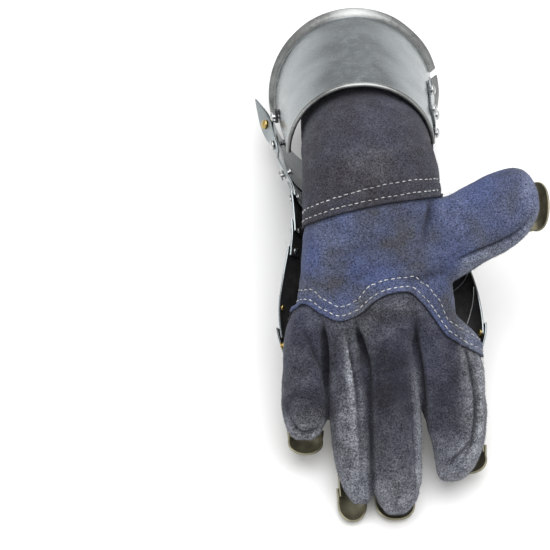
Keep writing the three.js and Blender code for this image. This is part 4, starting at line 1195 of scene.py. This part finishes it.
for part, half in hingeSides.items():
    def onCuff(u, v):
        return cuffPoint(u, cuff["plate"] + cuff["gap"] / 2, v, half["wider"])

    for i, along in enumerate((hinge["from"] + hinge["firstIn"], hinge["to"] - hinge["lastIn"])):
        turn = hingeTurn(along) + half["side"] * hinge["rivetTurn"]
        reach = cuff["plate"] + 2 * cuff["gap"]
        rivetPiece(f"round_hinge_{part}_{i + 1}", onCuff(along, turn), outwardOf(onCuff, along, turn), reach,
                   reach, rivetSteel, f"hinge_rivet_{part}_{i + 1}")

# The leaf and the strap that hold the cuff shut. The leaf's places are along, out and round the cuff.
leaf = {
    "root": (50, 3.4, 206), "point": (91, 9, 183), "half": 6.3, "rivets": (0.12, 0.5), "twist": (10, 36),
    "rows": 60, "bow": 0.5,
    "along": [-0.06, 0.05, 0.3, 0.55, 0.8, 0.93, 1.0], "wide": [0.45, 0.85, 1, 0.92, 0.5, 0.2, 0.03],
}
strap = {"half": 4.0, "on": (65, 185.5), "rows": 26}


def onBackHalf(place):
    return cuffPoint(place[0], place[1], place[2], cuff["backWider"])


leafRoot = onBackHalf(leaf["root"])
leafAxis = onBackHalf(leaf["point"]) - leafRoot
leafLong = np.linalg.norm(leafAxis)
leafAxis = leafAxis / leafLong
leafMiddle = [a + (b - a) * 0.6 for a, b in zip(leaf["root"], leaf["point"])]
leafOut = outwardOf(lambda u, v: onBackHalf((u, leafMiddle[1], v)), leafMiddle[0], leafMiddle[2])
leafOut = leafOut - leafAxis * leafOut.dot(leafAxis)
leafOut = leafOut / np.linalg.norm(leafOut)
leafSide = np.cross(leafOut, leafAxis)


# The leaf's side and outward directions: it twists up towards its point.
def leafFrame(u):
    first, last = leaf["twist"]
    turn = np.radians(first + (last - first) * smoothStep(0.1, 0.5, np.asarray(u, float)))[..., None]
    return leafSide * np.cos(turn) + leafOut * np.sin(turn), leafOut * np.cos(turn) - leafSide * np.sin(turn)


def leafPoint(u, side, out):
    sideways, outwards = leafFrame(u)
    return leafRoot + leafAxis * u * leafLong + sideways * side + outwards * out


# A pointed leaf, wider in its middle, with softened edges.
def closingLeaf():
    us = np.linspace(leaf["along"][0], leaf["along"][-1], leaf["rows"])
    wide = curveThrough(leaf["along"], leaf["wide"], us) * leaf["half"]

    def place(i, v, off):
        k = i.astype(int)
        side = (2 * v - 1) * wide[k]
        out = off + leaf["bow"] * (1 - (2 * v - 1) ** 2) * np.minimum(wide[k] / leaf["half"], 1)
        sideways, outwards = leafFrame(us[k])
        middle = leafRoot + leafAxis * (us[k] * leafLong)[..., None]
        return middle + sideways * side[..., None] + outwards * out[..., None]

    steels = (brightSteel, brightSteel)
    rows, across = np.arange(leaf["rows"]), np.linspace(0, 1, 11)
    obj = plateSheet("fine_closing_leaf", rows, across, place, cuff["plate"], steels, 0.25)
    finishPiece(obj, [], "polished_steel", "closing_leaf")


# Leather from under the leaf to the palm plate, rounded over the step between them.
def closingStrap():
    along, turn = strap["on"]
    low = cuff["plate"] + 1.5 * cuff["gap"] + scale["strap"] / 2

    def onPalm(u, v):
        return cuffPoint(u, low, v)

    palmOut = outwardOf(onPalm, along, turn)
    palmWay = onPalm(along, turn - 1) - onPalm(along, turn)
    palmWay = palmWay / np.linalg.norm(palmWay)
    leafUp = leafFrame(leaf["rivets"][1])[1]
    leafWay = palmWay - leafUp * palmWay.dot(leafUp)
    leafWay = leafWay / np.linalg.norm(leafWay)
    pinned = leafPoint(leaf["rivets"][1], 0, -cuff["gap"] - scale["strap"] / 2)
    stations = [(pinned + leafWay * far, leafWay, leafUp) for far in (-4.2, 3.0)]
    stations += [(onPalm(along, turn + past), palmWay, palmOut) for past in (4, -5)]
    steps = np.linspace(0, 3, strap["rows"])

    def smoothed(k):
        rows = np.array([station[k] for station in stations])
        return np.stack([np.interp(steps, np.arange(4), rows[:, i]) for i in range(3)], axis=1)

    spot, way, out = smoothed(0), smoothed(1), smoothed(2)

    def place(i, v, off):
        k = i.astype(int)
        across = np.cross(way[k], out[k])
        across = across / np.linalg.norm(across, axis=-1, keepdims=True)
        aside = across * ((2 * v - 1) * strap["half"])[..., None]
        return spot[k] + aside + out[k] * (off - scale["strap"] / 2)

    leathers = (blackLeather, blackLeather)
    rows, across = np.arange(strap["rows"]), np.linspace(0, 1, 7)
    obj = plateSheet("soft_closing_strap", rows, across, place, scale["strap"], leathers, 0.45)
    finishPiece(obj, [], "black_leather", "closing_strap")


def onStrap(u, v):
    return cuffPoint(u, cuff["plate"] + (cuff["gap"] + scale["strap"]) / 2, v)


def closingRivets():
    first, second = leaf["rivets"]
    outside = cuff["plate"] + cuff["gap"] + 0.4
    rivetPiece("round_closing_steel", leafPoint(first, 0, 0), leafFrame(first)[1], 6, outside, rivetSteel,
               "closing_rivet_steel")
    rivetPiece("round_closing_brass", leafPoint(second, 0, 0), leafFrame(second)[1],
               scale["strap"] + 3 * cuff["gap"], outside, rivetBrass, "closing_rivet_brass")
    rivetPiece("round_closing_palm", onStrap(*strap["on"]), outwardOf(onStrap, *strap["on"]), 3.2, 2.8,
               rivetSteel, "closing_rivet_palm")


closingLeaf()
closingStrap()
closingRivets()

# The hinge keeps the part's own shape and only takes its steel.
for name in ("hinge_leaf_palm", "hinge_leaf_back", "hinge_pin"):
    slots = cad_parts[name].data.materials
    if len(slots):
        slots[0] = brightSteel
    else:
        slots.append(brightSteel)
print("fittings built")

# Small rivets that show only inside the plates.
smallRivet = {"head": 2.1, "dome": 1.2, "inside": 0.2, "outside": 0.7, "stack": 0.9}
smallRivets = [
    {"name": "brass_hand", "row": 6.0, "turn": 165, "metal": rivetBrass},
    {"name": "brass_knuckle", "row": 7.4, "turn": 169, "metal": rivetBrass},
    {"name": "brass_knuckle_right", "row": 7.0, "turn": 16, "metal": rivetBrass},
    {"name": "steel_lame_low", "row": 3.05, "turn": 160, "metal": rivetSteel},
    {"name": "steel_hand_low", "row": 3.95, "turn": 160, "metal": rivetSteel},
]


def insideBack(row, turn):
    return backPoint(row, turn, smallRivet["stack"])


for item in smallRivets:
    where = (item["row"], item["turn"])
    inwards = -outwardOf(insideBack, *where)
    rivetPiece("small_" + item["name"], insideBack(*where), inwards, smallRivet["inside"],
               smallRivet["outside"], item["metal"], head=smallRivet["head"], dome=smallRivet["dome"])

# Two thin bright edges inside the hand plate, each from one row and turn to another, in the lighter steel
# that paints a highlight.
innerEdge = {"thick": 0.42, "sides": 8, "steps": 24, "sunk": 0.45}
innerEdges = [((5.55, 44), (5.0, 11)), ((5.5, 11), (6.65, 34))]


def brightEdge(name, first, last):
    t = np.linspace(0, 1, innerEdge["steps"])
    row, turn = (a + (b - a) * t for a, b in zip(first, last))
    plateFrom, plateTo = backPieces["hand_plate"]
    rise = backPlates["rise"] * (1 - (row - plateFrom) / (plateTo - plateFrom))
    path = backPoint(row, turn, rise - innerEdge["sunk"])
    way = np.gradient(path, axis=0)
    way /= np.linalg.norm(way, axis=1, keepdims=True)
    out = backPoint(row, turn, rise + 1) - path
    out -= way * (out * way).sum(axis=1, keepdims=True)
    out /= np.linalg.norm(out, axis=1, keepdims=True)
    around = np.linspace(0, 2 * math.pi, innerEdge["sides"], endpoint=False)[None, :, None]
    ring = np.cos(around) * np.cross(way, out)[:, None] + np.sin(around) * out[:, None]
    obj = tubeObject(name, path[:, None] + innerEdge["thick"] * ring)
    finishPiece(obj, [highlightSteel], "polished_steel")


for k, (first, last) in enumerate(innerEdges):
    brightEdge(f"inner_edge_{k + 1}", first, last)
print("small pieces built")

# Table, light and camera.
lights = [
    {"name": "overhead", "place": (0.1, 0.1, 1.7), "size": 1.7, "power": 33},
    {"name": "left", "place": (-1.3, -0.5, 0.9), "size": 0.9, "power": 4.5},
    {"name": "right", "place": (1.2, -0.3, 0.8), "size": 0.8, "power": 3},
    {"name": "behind", "place": (0, 1.5, 1.0), "size": 1.0, "power": 5.5},
]
lightAim = (0, 0, 0.05)
studio = {"glow": 0.58, "floorHalf": 3000, "floorRough": 0.9, "floorPale": (0.82, 0.82, 0.82, 1),
          "floorDull": (0.8, 0.8, 0.8, 1)}
view = {"lens": 89.25, "sensor": 36, "near": 0.05, "place": (-0.07809, -0.48544, 0.7882),
        "target": (-0.07809, -0.00854, 0.025)}


def pointAt(obj, place, target):
    obj.location = place
    obj.rotation_euler = (Vector(target) - Vector(place)).to_track_quat("-Z", "Y").to_euler()


def paleFloor():
    size = studio["floorHalf"]
    corners = [(x * size, y * size, -ground) for x, y in ((-1, -1), (1, -1), (1, 1), (-1, 1))]
    obj = newObject("floor", corners, [(0, 1, 2, 3)], smooth=False)
    material = bpy.data.materials.new("paleFloor")
    material.use_nodes = True
    tree = material.node_tree
    shader = tree.nodes["Principled BSDF"]
    shader.inputs["Roughness"].default_value = studio["floorRough"]
    grain = noiseOf(tree, addNode(tree, "TexCoord").outputs["Object"], 6, 2)
    feed(tree, blend(tree, grain, studio["floorDull"], studio["floorPale"]), shader.inputs["Base Color"])
    obj.data.materials.append(material)


for item in lights:
    lamp = bpy.data.lights.new(item["name"], "AREA")
    lamp.energy, lamp.size = item["power"], item["size"]
    pointAt(addObject(item["name"], lamp), item["place"], lightAim)

world = bpy.data.worlds.new("studio")
world.use_nodes = True
sky = world.node_tree.nodes["Background"].inputs
sky["Color"].default_value = (1, 1, 1, 1)
sky["Strength"].default_value = studio["glow"]
bpy.context.scene.world = world
bpy.context.scene.view_settings.view_transform = "Standard"
paleFloor()

camera = bpy.data.cameras.new("camera")
camera.lens, camera.sensor_width, camera.clip_start = view["lens"], view["sensor"], view["near"]
cameraObject = addObject("camera", camera)
pointAt(cameraObject, view["place"], view["target"])
bpy.context.scene.camera = cameraObject
